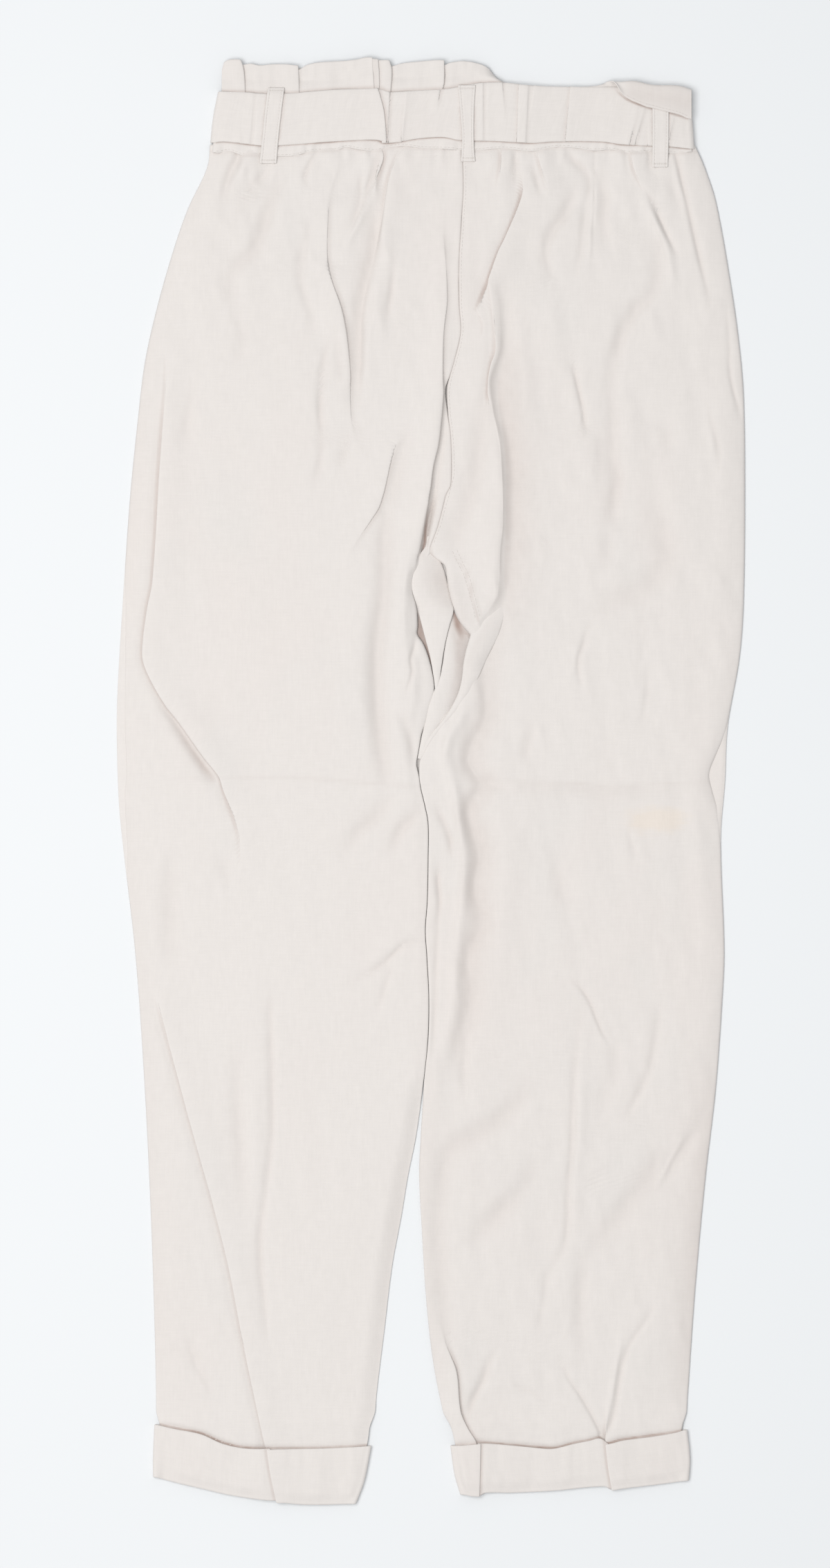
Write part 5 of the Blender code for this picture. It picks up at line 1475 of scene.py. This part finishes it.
FRONT_FRILL = Strip(
    ends=(-149, 182),
    crest=[(-149, 505), (-60, 506), (20, 506), (28, 505), (33, 502.5), (38, 501), (48, 499.3), (182, 499.3)],
    level=[(20, 1.2), (28, 1.4), (33, 1.6), (38, BAND_LOW), (182, BAND_LOW)],
    turn=[(28, 0), (33, 45), (48, 180), (182, 180)],
    depth=[(20, 1.3), (28, 1.2), (38, 1.1), (48, 1.3)],
    beyond=[(-149, 7), (-110, 9), (-10, 9.7), (20, 8), (28, 5), (33, 2.5), (38, 1.2), (43, 1.5), (48, 5),
            (60, 11), (90, 14), (140, 14), (182, 12)],
    foot=[(x, y + 1) for x, y in BAND_TOP])
CREST_DEPTH = 1.3  # how far the standing frill rises over its crest before its free part
standing = [(x, y - float(table(FRILL.crest, x)) - CREST_DEPTH) for x, y in FRILL_TOP]
FRILL = FRILL._replace(beyond=standing + FRILL.beyond)
print("most cloth beyond the crest:", max(beyond for _, beyond in FRILL.beyond), "mm")

# %% [markdown]
# ## Pleats and shape of the frill
#
# A section through the strip has six knots: its free edge, the middle of its free part, the two ends of
# the turn, and two places down to its foot. Pleats cross the part that stands upright.

# %% Frills
FRILL_THICK = 0.7
FRILL_FOOT_END = 182.5  # the foot ends here, inside the end of the crest
FRILL_POINTS = 26  # points across the strip
FRILL_WIDTH = 26.0  # width of the strip on the flat cloth
# Less shade is painted into the creases of the pleats than into those of the legs.
FRILL_FOLDS = [fold._replace(tone=0.12) for fold in (
    Fold("first pleat", -1, 1.5, 9, [(-136.6, 523, 0.9, 1.6), (-135, 515, 1.1, 2.4), (-133.4, 498, 1, 2)]),
    Fold("second pleat", -1, 1.4, 7, [(-95, 520, 0.7, 1.3), (-94, 498, 0.7, 1.4)]),
    Fold("crest of the middle pleat", -1, 1.6, 9, [
        (-41.5, 526, 1, 1.4), (-40.6, 503, 0.9, 1.8), (-40.3, 498, 0.6, 1)]),
    Fold("middle pleat", -1, 1.5, 5, [(-37.4, 526, 0.9, 1.6), (-36.8, 510, 1, 2.2), (-36.8, 498, 1, 2.2)]),
    Fold("third pleat", -1, 1.5, 7, [(-29.8, 523, 1, 2), (-28.2, 515, 1.2, 2.6), (-28.5, 498, 1, 2)]),
    Fold("fourth pleat", -1, 1.5, 8, [(10.2, 524, 1, 2), (9.6, 505, 1.2, 2.6), (8.5, 498, 1, 2)]),
    Fold("soft pleat", -1, 3, 8, [(28.8, 523, 0.5), (28, 503, 0.4)]),
)]
# Painted shade: along the foot of the frill just above the belt, and over the flap, which hangs in its own
# shade
FRILL_SHADES = [
    Shade("above the belt", +1, 3, 1.6, [(x, y, 0.45) for x, y in BELT_TOP if x < 60]),
    Shade("flap in its own shade", +1, 9, 12, [(137, 500), (145, 498, 0.14), (188, 490, 0.16)]),
]


def frill(name, strip, foot_level, folds, shades, columns, waves):
    """A strip whose cloth rises from its foot to a crest, turns over and runs on to its free edge."""
    first, last = strip.ends
    x = panel_grid(np.array([first]), np.array([last]), np.array([512.0]), folds, columns)[0]
    crest_y, crest_level, turn, depth, beyond, foot_y = (table(rows, x) for rows in strip[1:])
    beyond = np.maximum(beyond, 1.0)
    whole_turn = np.radians(np.clip(turn, -180, 180))
    fall_y = crest_y + depth * np.cos(whole_turn / 2)
    fall_level = crest_level + depth * np.sin(whole_turn / 2)
    edge_y = fall_y + beyond * np.cos(whole_turn)
    edge_level = fall_level + beyond * np.sin(whole_turn)
    knots_y = [edge_y, (edge_y + fall_y) / 2, fall_y, crest_y, foot_y + (crest_y - foot_y) * 0.6, foot_y]
    knots_z = [edge_level, (edge_level + fall_level) / 2, fall_level, crest_level,
               foot_level * 0.7 + crest_level * 0.3, np.full_like(x, foot_level)]
    knot_at, fine = [0, 0.24, 0.48, 0.6, 0.82, 1], np.linspace(0, 1, FRILL_POINTS)
    y, z = (np.column_stack([smooth(knot_at, column, fine) for column in np.array(knots).T])
            for knots in (knots_y, knots_z))
    fine = fine[:, None]
    spread = x + (np.minimum(x, FRILL_FOOT_END) - x) * ease((fine - 0.6) / 0.2)
    crumples = noise(spread, y, 9, 40, 71) + 0.45 * noise(spread, y, 4, 12, 72)
    sheet = sheet_points(spread, y, z + waves * crumples * np.clip((y - foot_y) / 12, 0, 1))
    upright = np.broadcast_to(np.cos(whole_turn / 2) > 0.7, y.shape) * 1.0
    for fold in folds:
        fold_cloth(sheet, fold, upright)
    shade_cloth(sheet, shades)
    return cloth_shell(name, sheet, flat_places(x, -fine * FRILL_WIDTH), FRILL_THICK)


pieces["frill_back"] = frill("frill_back", FRILL, BAND_HIGH, FRILL_FOLDS, FRILL_SHADES, 420, 0.8)
pieces["frill_front"] = frill("frill_front", FRONT_FRILL, BAND_LOW, [], [], 140, 0.15)

# %% [markdown]
# ## Laying one cloth on another
#
# Loops and cuffs lie on cloth that is already folded, so their level can't be typed in. A ray dropped
# from above finds the height of whatever lies there.

# %% Find the height of the cloth below
DROP_FROM = 0.05  # metres, above every piece


def height_over(names, x, y):
    """Height in millimetres of the top of the named pieces at each place, and 0 beside them."""
    trees = [BVHTree.FromPolygons([v.co for v in pieces[name].data.vertices],
                                  [p.vertices for p in pieces[name].data.polygons]) for name in names]
    x, y = np.broadcast_arrays(x, y)
    heights = np.zeros(x.shape)
    for place in np.ndindex(x.shape):
        start = Vector((x[place] * MM, y[place] * MM, DROP_FROM))
        for tree in trees:
            hit = tree.ray_cast(start, Vector((0, 0, -1)))[0]
            if hit is not None:
                heights[place] = max(heights[place], hit.z / MM)
    return heights


def taut_over(heights, reach):
    """What a stiff strip does over a row of heights: it touches the tops and bridges the dips."""
    tops = np.array([heights[max(i - reach, 0):i + reach + 1].max() for i in range(len(heights))])
    padded = np.pad(tops, reach, mode="edge")
    return np.convolve(padded, np.ones(2 * reach + 1) / (2 * reach + 1), mode="valid")


print(f"top of the belt in its middle: {height_over(['belt'], 0.0, 482.0):.1f} mm")

# %% [markdown]
# ## The inside of the crotch
#
# Where the legs part, the inner thighs of the fronts look out between the backs: a pointed leaf on the
# left, a rolled rim beside it, and on the right a long leaf that twists down to the inner leg. A ribbon
# lofted through a few cross-sections shapes each one well. A row gives the left edge, the middle and the
# right edge, each with its level above the table.

# %% Leaves of cloth between the legs: (y, x, level, x, level, x, level)
LEAVES = {
    "thigh_leaf": [
        (178, -2.6, 3, -1.2, 3.4, 0.6, 3), (171, -3.6, 3.2, -1, 3.4, 2, 3), (166, -7, 3.6, -3, 3.6, 4, 2.8),
        (161.5, -9.6, 4, -3, 4, 6, 2.4), (153, -13.2, 4.2, -2.5, 4.2, 9.5, 1.8),
        (145, -14, 4.2, -1, 4.6, 11.5, 1.8), (138, -13.2, 4.2, 0, 5, 13, 2.4),
        (130.5, -11, 4.2, 1.5, 5.2, 14.7, 3.6), (124.5, -9.2, 4, 3.5, 5.4, 16.2, 4.6),
        (113, -6.3, 3.8, 4, 5.2, 13.2, 4.6), (100.5, -3, 3.6, 3.5, 4.8, 10.2, 4.2),
        (90.5, -0.4, 3.4, 3.9, 4.4, 8.4, 3.8), (75.5, 2.2, 3, 4.3, 3.7, 6.2, 3.2),
        (65.5, 3.4, 2.6, 4, 3, 4.4, 2.7)],
    "thigh_rim": [
        (124, 15.6, 2, 18, 1.6, 24, 1.2), (119, 14.6, 2.4, 18, 2, 26, 1.2),
        (112, 13.3, 3, 17.6, 2.7, 28, 1.2), (103, 11.3, 3.4, 17, 3.2, 30, 1),
        (95.5, 10, 3.2, 16, 3.3, 28.5, 1), (85.5, 8.6, 3, 14.6, 3.4, 26.5, 1),
        (75.5, 6.4, 2.8, 13, 3.5, 25, 1), (65.5, 2.2, 2.8, 10, 3.6, 22, 1),
        (55.5, -1.5, 2.8, 6.4, 3.8, 17.5, 1.2), (45.5, -3.5, 2.8, 3.2, 4, 11.5, 1.6),
        (35.5, -6, 2.8, -1.5, 4, 3.6, 2), (25.5, -8, 2.6, -5, 3.2, -2.4, 2.2),
        (17, -9.6, 2.4, -8, 2.8, -6.8, 2.2)],
    "tongue_leaf": [
        (132, 42, 2.6, 47, 3, 51, 2.6), (126, 40, 3.2, 47, 3.8, 52.6, 3),
        (120.5, 36, 3.8, 45.5, 4.7, 52.6, 3.4), (115.5, 31.5, 4.2, 42.5, 5.5, 51.6, 3.8),
        (105.5, 28.5, 4.6, 38.5, 6, 48.4, 3.8), (95.5, 25.6, 4.6, 34.2, 6, 43.4, 3.8),
        (85.5, 23.6, 4.4, 31, 5.8, 38.6, 3.8), (75.5, 22.6, 4.2, 28.2, 5.6, 34, 3.8),
        (65.5, 20.2, 4, 24.2, 5.4, 28.4, 3.8), (55.5, 15.6, 4, 18.4, 5, 21.4, 4),
        (45.5, 9.2, 4, 11, 4.8, 13.2, 4), (35.5, 1, 3.6, 2.6, 4.2, 4.6, 3.6),
        (25.5, -4.6, 3.2, -3.5, 3.8, -2.2, 3.2), (16, -8.8, 2.6, -8, 3, -7.2, 2.6)],
}
# Painted shade on the leaves: under the crotch, behind the rim, in the hole under the flap and beside the
# tongue
LEAF_SHADES = {
    "thigh_leaf": [
        Shade("under the crotch", -1, 6, 12, [(0, 163, 0.05), (5, 157, 0.14), (10, 138, 0.18), (14, 120)])],
    "thigh_rim": [
        Shade("behind the rim", +1, 4, 9, [
            (19, 110, 0.3), (20.5, 100, 0.36), (20, 76, 0.26), (16, 62, 0.16), (10, 48)]),
        Shade("hole under the flap", +1, 2.8, 4.5, [
            (16.5, 125, 1), (20, 111, 1), (21.5, 106, 0.7), (22.5, 98)]),
        Shade("edge of the flap", -1, 2.5, 1, [(17, 119), (21, 112, 0.5), (27, 106, 0.5)])],
    "tongue_leaf": [
        Shade("beside the tongue", +1, 2, 6, [
            (52, 138), (46, 122, 0.05), (37, 108, 0.07), (29, 92, 0.07), (25, 75, 0.05), (20, 60)])],
}
LEAF_RESTS = {  # edges that come down to a back: (edge, piece, lowest y, height over that piece)
    "thigh_leaf": [(0, "back_left", 118, THIN / 2 + 0.15)],
    "tongue_leaf": [(2, "back_right", 50, -THIN / 2 - 0.1)],
}
print("sections:", {name: len(sections) for name, sections in LEAVES.items()})

# %% [markdown]
# Between the sections the rows are a little more than a millimetre apart, and a parabola through the
# three levels crowns each of them. The edges that rest on a back come down to it by a ray.

# %% Loft the leaves
LEAF_ROW, LEAF_COLUMNS = 1.2, 17


def lofted_leaf(name, sections):
    y = np.arange(sections[0][0], sections[-1][0], -LEAF_ROW)
    share = np.linspace(0, 1, LEAF_COLUMNS)
    weights = [(1 - share) * (1 - 2 * share), 4 * share * (1 - share), share * (2 * share - 1)]
    places = [table(sections, y, column) for column in (1, 3, 5)]
    levels = [table(sections, y, column) for column in (2, 4, 6)]
    for edge, piece, lowest, offset in LEAF_RESTS.get(name, []):
        below = taut_over(height_over([piece], places[edge], y), 3)
        levels[edge] += ease((y - lowest) / 10) * np.minimum(below + offset - levels[edge], 0)
    x, z = (sum(np.outer(knot, weight) for knot, weight in zip(knots, weights)) for knots in (places, levels))
    y = np.broadcast_to(y[:, None], x.shape)
    sheet = sheet_points(x, y, z + noise(x, y, 5, 14, 3) * 0.12)
    shade_cloth(sheet, LEAF_SHADES[name])
    return cloth_shell(name, sheet, flat_places(x, y))


for name, sections in LEAVES.items():
    pieces[name] = lofted_leaf(name, sections)

# %% [markdown]
# ## The belt loops
#
# Each of the three loops is a narrow strip, folded and sewn along both edges, and fixed above and below
# the belt. It is laid over the belt and the casing, and leans a little because the belt pulls at it.

# %% Belt loops
LOOP_THICK, LOOP_WIDTH = 0.9, 11.5
LOOP_ROWS, LOOP_COLUMNS = 90, 25
LOOP_LIES_ON = {
    "belt_loop_left": ["back_left", "waistband", "belt", "frill_back"],
    "belt_loop_centre": ["back_left", "back_right", "waistband", "belt", "frill_back"],
    "belt_loop_right": ["back_right", "waistband", "belt"],      # its top end slips under the flap
}


def belt_loop(name, sides):
    y = np.linspace(sides[0][0], sides[-1][0], LOOP_ROWS)[:, None]
    left, right = table(sides, y, 1), table(sides, y, 2)
    share = np.linspace(0, 1, LOOP_COLUMNS)
    x = left + (right - left) * share
    level = taut_over(height_over(LOOP_LIES_ON[name], x[:, ::4], y).max(1), 4) + LOOP_THICK / 2 + 0.12
    from_edge = np.minimum(share, 1 - share) * LOOP_WIDTH
    sewn = -0.22 * np.exp(-((from_edge - 1.6) / 0.5) ** 2) + 0.1 * np.exp(-((from_edge - 0.6) / 0.6) ** 2)
    sheet = sheet_points(x, y, level[:, None] + sewn + noise(x, y, 3, 4, 81) * 0.08)
    return cloth_shell(name, sheet, flat_places(x, y), LOOP_THICK)


for name, sides in LOOPS.items():
    pieces[name] = belt_loop(name, sides)

# %% [markdown]
# ## The turn-up cuffs
#
# Each leg goes into its cuff as a foot into a sock, so the upper edge stands off a little and throws a
# shadow on the leg, deepened by shade painted along the gap on the back panels. The folds of the leg run
# on through the cuff, and there they step its edges.

# %% Cuffs
CUFF_THICK, CUFF_LOW = 0.9, 0.5
CUFF_END_LEVEL = float(lower_level(-500.0)) + 2.6
CUFFS = {
    "cuff_left": Ring(
        [(0, -200, -43), (0.6, -201, -48), (1, -201, -54)],
        [(-202, -464), (-199, -464.5), (-186, -467.5), (-166, -471.5), (-151, -478), (-136, -481.5),
         (-121, -482), (-96, -482), (-72, -481.5), (-43, -480)],
        [(-201, -501.5), (-191, -504.5), (-166, -510.5), (-141, -516), (-113, -519.5), (-92, -522),
         (-54, -521.5)],
        CUFF_LOW, CUFF_END_LEVEL, rows=36, thickness=CUFF_THICK),
    "cuff_right": Ring(
        [(0, 14, 185.5), (0.6, 17, 187.5), (1, 21, 186.5)],
        [(14, -480), (28, -479), (37, -478), (58, -479.5), (78, -481.5), (88, -482), (103, -478.5),
         (115, -476), (122, -474.5), (126, -478.5), (138, -476), (158, -473.5), (176, -470.5), (185, -468)],
        [(21, -514.5), (36, -516), (39, -513.5), (58, -513.5), (88, -512), (125, -508.8), (130, -511.5),
         (138, -510.5), (168, -507), (186, -504.5)],
        CUFF_LOW, CUFF_END_LEVEL, rows=36, thickness=CUFF_THICK),
}
CUFF_FOLDS = {
    "cuff_left": [
        Fold("cuff pleat", +1, 2.2, 14, [
            (-120.5, -478, 0.9, 2.6), (-117, -500, 0.9, 3), (-112.5, -523, 0.9, 2.6)], 0.25)],
    "cuff_right": [
        Fold("inner cuff pleat", -1, 1.8, 8, [(37, -474, 0.8, 2.2), (36, -518, 0.8, 2.2)]),
        Fold("notch pleat", +1, 2, 12, [
            (124.3, -472, 0.9, 2.4), (127, -495, 0.9, 2.6), (130, -514, 0.9, 2.4)])],
}


def turn_up(name, cuff):
    left, right = cuff.ends[0][1:]
    leg = "back_" + name.split("_")[1]
    x = np.arange(left + 6, right - 5, 2.0)
    below = height_over([leg], x[:, None], np.arange(-466, -503, -4.0)).max(1)
    level = taut_over(below, 3) + CUFF_THICK / 2 + 0.15

    def high(at_x, at_y):
        outward = ease((at_y - table(cuff.top, at_x) + 6) / 6)
        hem = ease((table(cuff.bottom, at_x) + 9 - at_y) / 9)
        slack = noise(at_x, at_y, 13, 40, 91) * 0.75 + noise(at_x, at_y, 5, 26, 92) * 0.3
        return np.interp(at_x, x, level) - 0.25 * outward - 1.6 * hem + slack * (1 - hem)

    return flat_ring(name, cuff, high, CUFF_FOLDS[name])


for name, cuff in CUFFS.items():
    pieces[name] = turn_up(name, cuff)

# %% [markdown]
# ## Stitches
#
# Hundreds of stitches repeat along a path, so a Geometry Nodes tree sews them: it cuts a path into equal
# steps, lays one small bead of thread on each step and turns it along the path. Placing them in Python
# would work as well, but then nobody could change their length afterwards.

# %% Node tree: beads of thread along a path
def stitch_row_tree():
    tree = bpy.data.node_groups.new("stitch row", "GeometryNodeTree")
    for label, kind in (("Path", "Geometry"), ("Pitch", "Float"), ("Bead Size", "Vector"), ("Seed", "Int"),
                        ("Thread", "Material")):
        tree.interface.new_socket(label, in_out="INPUT", socket_type="NodeSocket" + kind)
    tree.interface.new_socket("Stitches", in_out="OUTPUT", socket_type="NodeSocketGeometry")
    given = tree.nodes.new("NodeGroupInput").outputs
    curve = add_node(tree, "GeometryNodeMeshToCurve", {}, Mesh=given["Path"])
    steps = add_node(tree, "GeometryNodeResampleCurve", {"mode": "LENGTH"}, Curve=curve.outputs["Curve"],
                     Length=given["Pitch"])
    bead = add_node(tree, "GeometryNodeMeshUVSphere", {}, Segments=8, Rings=4, Radius=0.5)
    sized = add_node(tree, "GeometryNodeTransform", {}, Geometry=bead.outputs["Mesh"],
                     Scale=given["Bead Size"])
    tangent = tree.nodes.new("GeometryNodeInputTangent").outputs["Tangent"]
    turned = add_node(tree, "FunctionNodeAlignRotationToVector", {"axis": "X"}, Vector=tangent)
    uneven = add_node(tree, "FunctionNodeRandomValue", {}, Min=0.85, Max=1.1, Seed=given["Seed"])
    sown = add_node(tree, "GeometryNodeInstanceOnPoints", {}, Points=steps.outputs["Curve"],
                    Instance=sized.outputs["Geometry"], Rotation=turned.outputs["Rotation"],
                    Scale=uneven.outputs[1])
    real = add_node(tree, "GeometryNodeRealizeInstances", {}, Geometry=sown.outputs["Instances"])
    dyed = add_node(tree, "GeometryNodeSetMaterial", {}, Geometry=real.outputs["Geometry"],
                    Material=given["Thread"])
    add_node(tree, "NodeGroupOutput", {}, Stitches=dyed.outputs["Geometry"])
    return tree


stitch_tree = stitch_row_tree()
print("nodes that sew:", len(stitch_tree.nodes))

# %% [markdown]
# ## The thread
#
# The thread is spun cotton in the colour of the cloth, a little smoother than linen. A stretched noise on
# the object's coordinates stands for its twist.

# %% Thread material
THREAD_DARK, THREAD_LIGHT = (0.62, 0.58, 0.55, 1), (0.76, 0.72, 0.69, 1)
thread, thread_tree, thread_shader = new_material("sewing_thread", Roughness=0.65, Sheen_Weight=0.2)
thread_place = thread_tree.nodes.new("ShaderNodeTexCoord").outputs["Object"]
twist = stretched_noise(thread_tree, thread_place, (2600, 2600, 900))
fill(thread_shader, Base_Color=mixed(thread_tree, twist, THREAD_DARK, THREAD_LIGHT))
print("material:", thread.name)

# %% [markdown]
# ## Where the stitches run
#
# A topstitch runs down beside the seat seam and two follow the right thigh below the crotch. One row
# closes the casing, the flap of the frill has one, and each loop has a row along both edges and a dense
# bar at both ends.

# %% Paths of the stitches, in rows (x, y)
seat_row = [(float(table(SEAM, y)) + 1.7, y) for y in np.arange(450, 170, -12.0)]
thigh_row = [(16, 166), (19.6, 158), (23.6, 150), (26.2, 142), (29.4, 130), (31.8, 120)]
second_thigh_row = [(x + 3.2, y + 1) for x, y in thigh_row]
flap_row = [(x, float(table(FRILL.crest, x) - table(FRILL.beyond, x)) + 1.6) for x in range(142, 186, 6)]
casing_row = [(x, y + 1.1) for x, y in BAND_SEAM if -156 < x < 188]


def loop_edges(sides):
    return [[(left + 1.4, y) for y, left, _ in sides], [(right - 1.4, y) for y, _, right in sides]]


def loop_bars(sides):
    """A bar across a loop near its top and near its foot."""
    (top, a, b), (foot, c, d) = sides[0], sides[-1]
    return [[(a + 1, top - 2.2), (b - 1, top - 2.2)], [(c + 1, foot + 2.2), (d - 1, foot + 2.2)]]


print("knots of the seat row:", len(seat_row))

# %% [markdown]
# ## Sewing
#
# A path is drawn from above and dropped on the cloth. The modifier gets its inputs by the identifier of
# each socket, because names can occur twice. Then the beads are kept as a plain mesh, and the modifier
# goes.

# %% Sew
PITCH, FINE_PITCH, BAR_PITCH = 2.8, 2.4, 0.8
BEAD, BAR_BEAD = (2.0, 0.42, 0.36), (0.42, 1.6, 0.36)
PATH_STEP, THREAD_LEVEL = 1.4, 0.03
SEWING_SEED = 4


def sew(name, rows, on, pitch=PITCH, bead=BEAD):
    points, edges = [], []
    for row in rows:
        line = drawn_line(row, PATH_STEP)
        level = height_over(on, line[:, 0], line[:, 1])
        first = len(points)
        points += [(x * MM, y * MM, (z + THREAD_LEVEL) * MM) for (x, y), z in zip(line, level)]
        edges += [(k, k + 1) for k in range(first, len(points) - 1)]
    path = bpy.data.meshes.new(name)
    path.from_pydata(points, edges, [])
    thing = add_object(name, path)
    sewing = thing.modifiers.new("sewing", "NODES")
    sewing.node_group = stitch_tree
    values = {"Pitch": pitch * MM, "Bead Size": [size * MM for size in bead], "Seed": SEWING_SEED,
              "Thread": thread}
    for item in stitch_tree.interface.items_tree:
        if item.name in values:
            sewing[item.identifier] = values[item.name]
    bpy.context.view_layer.update()
    finished = bpy.data.meshes.new_from_object(thing.evaluated_get(bpy.context.evaluated_depsgraph_get()))
    thing.modifiers.clear()
    thing.data = finished
    finished.shade_smooth()
    print(f"{name}: {len(finished.polygons)} faces")
    return thing


seams = [sew("stitches_seat", [seat_row], ["back_left", "back_right"]),
         sew("stitches_thigh", [thigh_row, second_thigh_row], ["back_right"]),
         sew("stitches_casing", [casing_row], ["waistband"]),
         sew("stitches_flap", [flap_row], ["frill_back"], FINE_PITCH)]
for name, sides in LOOPS.items():
    seams.append(sew(name + "_edges", loop_edges(sides), [name], FINE_PITCH))
    seams.append(sew(name + "_bars", loop_bars(sides), [name], BAR_PITCH, BAR_BEAD))

# %% [markdown]
# ## The table
#
# The trousers lie on a white table, a little cooler than the cloth. It is one large square, so that its
# edges stay far from the cloth.

# %% Floor
FLOOR_HALF, FLOOR_LEVEL = 4.0, -0.0003  # metres

floor_mesh = bpy.data.meshes.new("floor")
corners = [(x * FLOOR_HALF, y * FLOOR_HALF, FLOOR_LEVEL) for x, y in ((-1, -1), (1, -1), (1, 1), (-1, 1))]
floor_mesh.from_pydata(corners, [], [(0, 1, 2, 3)])
white_table, _, _ = new_material("white_table", Base_Color=(0.83, 0.85, 0.868, 1), Roughness=0.8,
                                 Specular_IOR_Level=0.1)
floor_mesh.materials.append(white_table)
floor = add_object("floor", floor_mesh)
floor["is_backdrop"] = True
print(f"floor: {2 * FLOOR_HALF} m wide")

# %% [markdown]
# ## The light
#
# Most of the light in a bright room comes evenly from all round, which the world stands for. A large soft
# window high on the left gives each fold a bright and a shaded side. A small lamp would make hard
# shadows.

# %% Room and window
ROOM_COLOUR, ROOM_LIGHT = (0.985, 0.995, 1.0, 1), 0.49
WINDOW_PLACE = Vector((-0.85, 0.0, 3.0))
WINDOW_SIZE, WINDOW_POWER, WINDOW_COLOUR = 2.0, 68.0, (1.0, 0.99, 0.98)

world = bpy.data.worlds.new("room")
world.use_nodes = True
fill(world.node_tree.nodes["Background"], Color=ROOM_COLOUR, Strength=ROOM_LIGHT)
bpy.context.scene.world = world
window_data = bpy.data.lights.new("window", "AREA")
window_data.size, window_data.energy, window_data.color = WINDOW_SIZE, WINDOW_POWER, WINDOW_COLOUR
window = add_object("window", window_data)
window.location = WINDOW_PLACE
window.rotation_euler = (-WINDOW_PLACE).to_track_quat("-Z", "Y").to_euler()
bpy.context.scene.view_settings.view_transform = "Standard"
bpy.context.scene.view_settings.look = "None"
print(f"window: {WINDOW_SIZE} m wide, {WINDOW_PLACE.length:.1f} m away")

# %% [markdown]
# ## The cut of each piece
#
# A pattern cutter asks how much cloth a piece takes before it is folded or gathered. The table answers
# that, in metres: the rectangle it is cut from, its area if the cut has another shape, how it is held and
# what it lies on. The leaves between the legs belong to the fronts.

# %% Flat sizes: width, length, area, held, what it rests on, pieces that go with it
Cut = namedtuple("Cut", "width length area held rests_on parts", defaults=[[]])
CUTS = {
    "front_left": Cut(0.255, 0.965, 0.200, "laid", ["floor"], ["thigh_leaf", "thigh_rim"]),
    "front_right": Cut(0.255, 0.965, 0.198, "laid", ["floor"], ["tongue_leaf"]),
    "back_left": Cut(0.258, 0.968, 0.203, "laid", ["front_left"]),
    "back_right": Cut(0.256, 0.968, 0.202, "laid", ["front_right"]),
    "waistband": Cut(0.712, 0.041, None, "gathered", ["belt"]),
    "belt": Cut(0.715, 0.040, None, "laid", ["floor", "waistband"]),
    "frill_back": Cut(0.362, 0.023, None, "gathered", ["waistband"]),
    "frill_front": Cut(0.335, 0.020, None, "gathered", ["waistband"]),
    "belt_loop_left": Cut(0.0117, 0.060, None, "laid", ["belt"]),
    "belt_loop_centre": Cut(0.0115, 0.060, None, "laid", ["belt"]),
    "belt_loop_right": Cut(0.0113, 0.060, None, "laid", ["belt"]),
    "cuff_left": Cut(0.318, 0.041, None, "folded", ["floor", "front_left"]),
    "cuff_right": Cut(0.332, 0.038, None, "folded", ["floor", "front_right"]),
}
all_cloth = sum(cut.area or cut.width * cut.length for cut in CUTS.values())
print(f"cloth in the table: {all_cloth:.2f} square metres")

# %% [markdown]
# ## Dressing the model
#
# Each piece gets its linen, rides on the one body of the trousers and, unless it is a leaf, takes the
# place of its measured solid. The slots say what a new colour would reach: the belt with its loops, the
# frill with the casing, or the rest.

# %% Dress the model
LINENS = {"belt": belt_linen, "frill": frill_linen, "waistband": frill_linen}

for name, piece in pieces.items():
    piece.data.materials.append(LINENS.get(name.split("_")[0], panel_linen))
    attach(piece, "root")
    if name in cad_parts:
        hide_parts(name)
for row in seams:
    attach(row, "root")
print(f"{len(pieces)} pieces of cloth and {len(seams)} of stitches")

# %% [markdown]
# ## Finish
#
# The bounds of the measured model and of the finished cloth are put side by side.

# %% The sizes side by side
({"cad": [list(corner) for corner in measured_box],
           "visual": [list(corner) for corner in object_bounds()]})
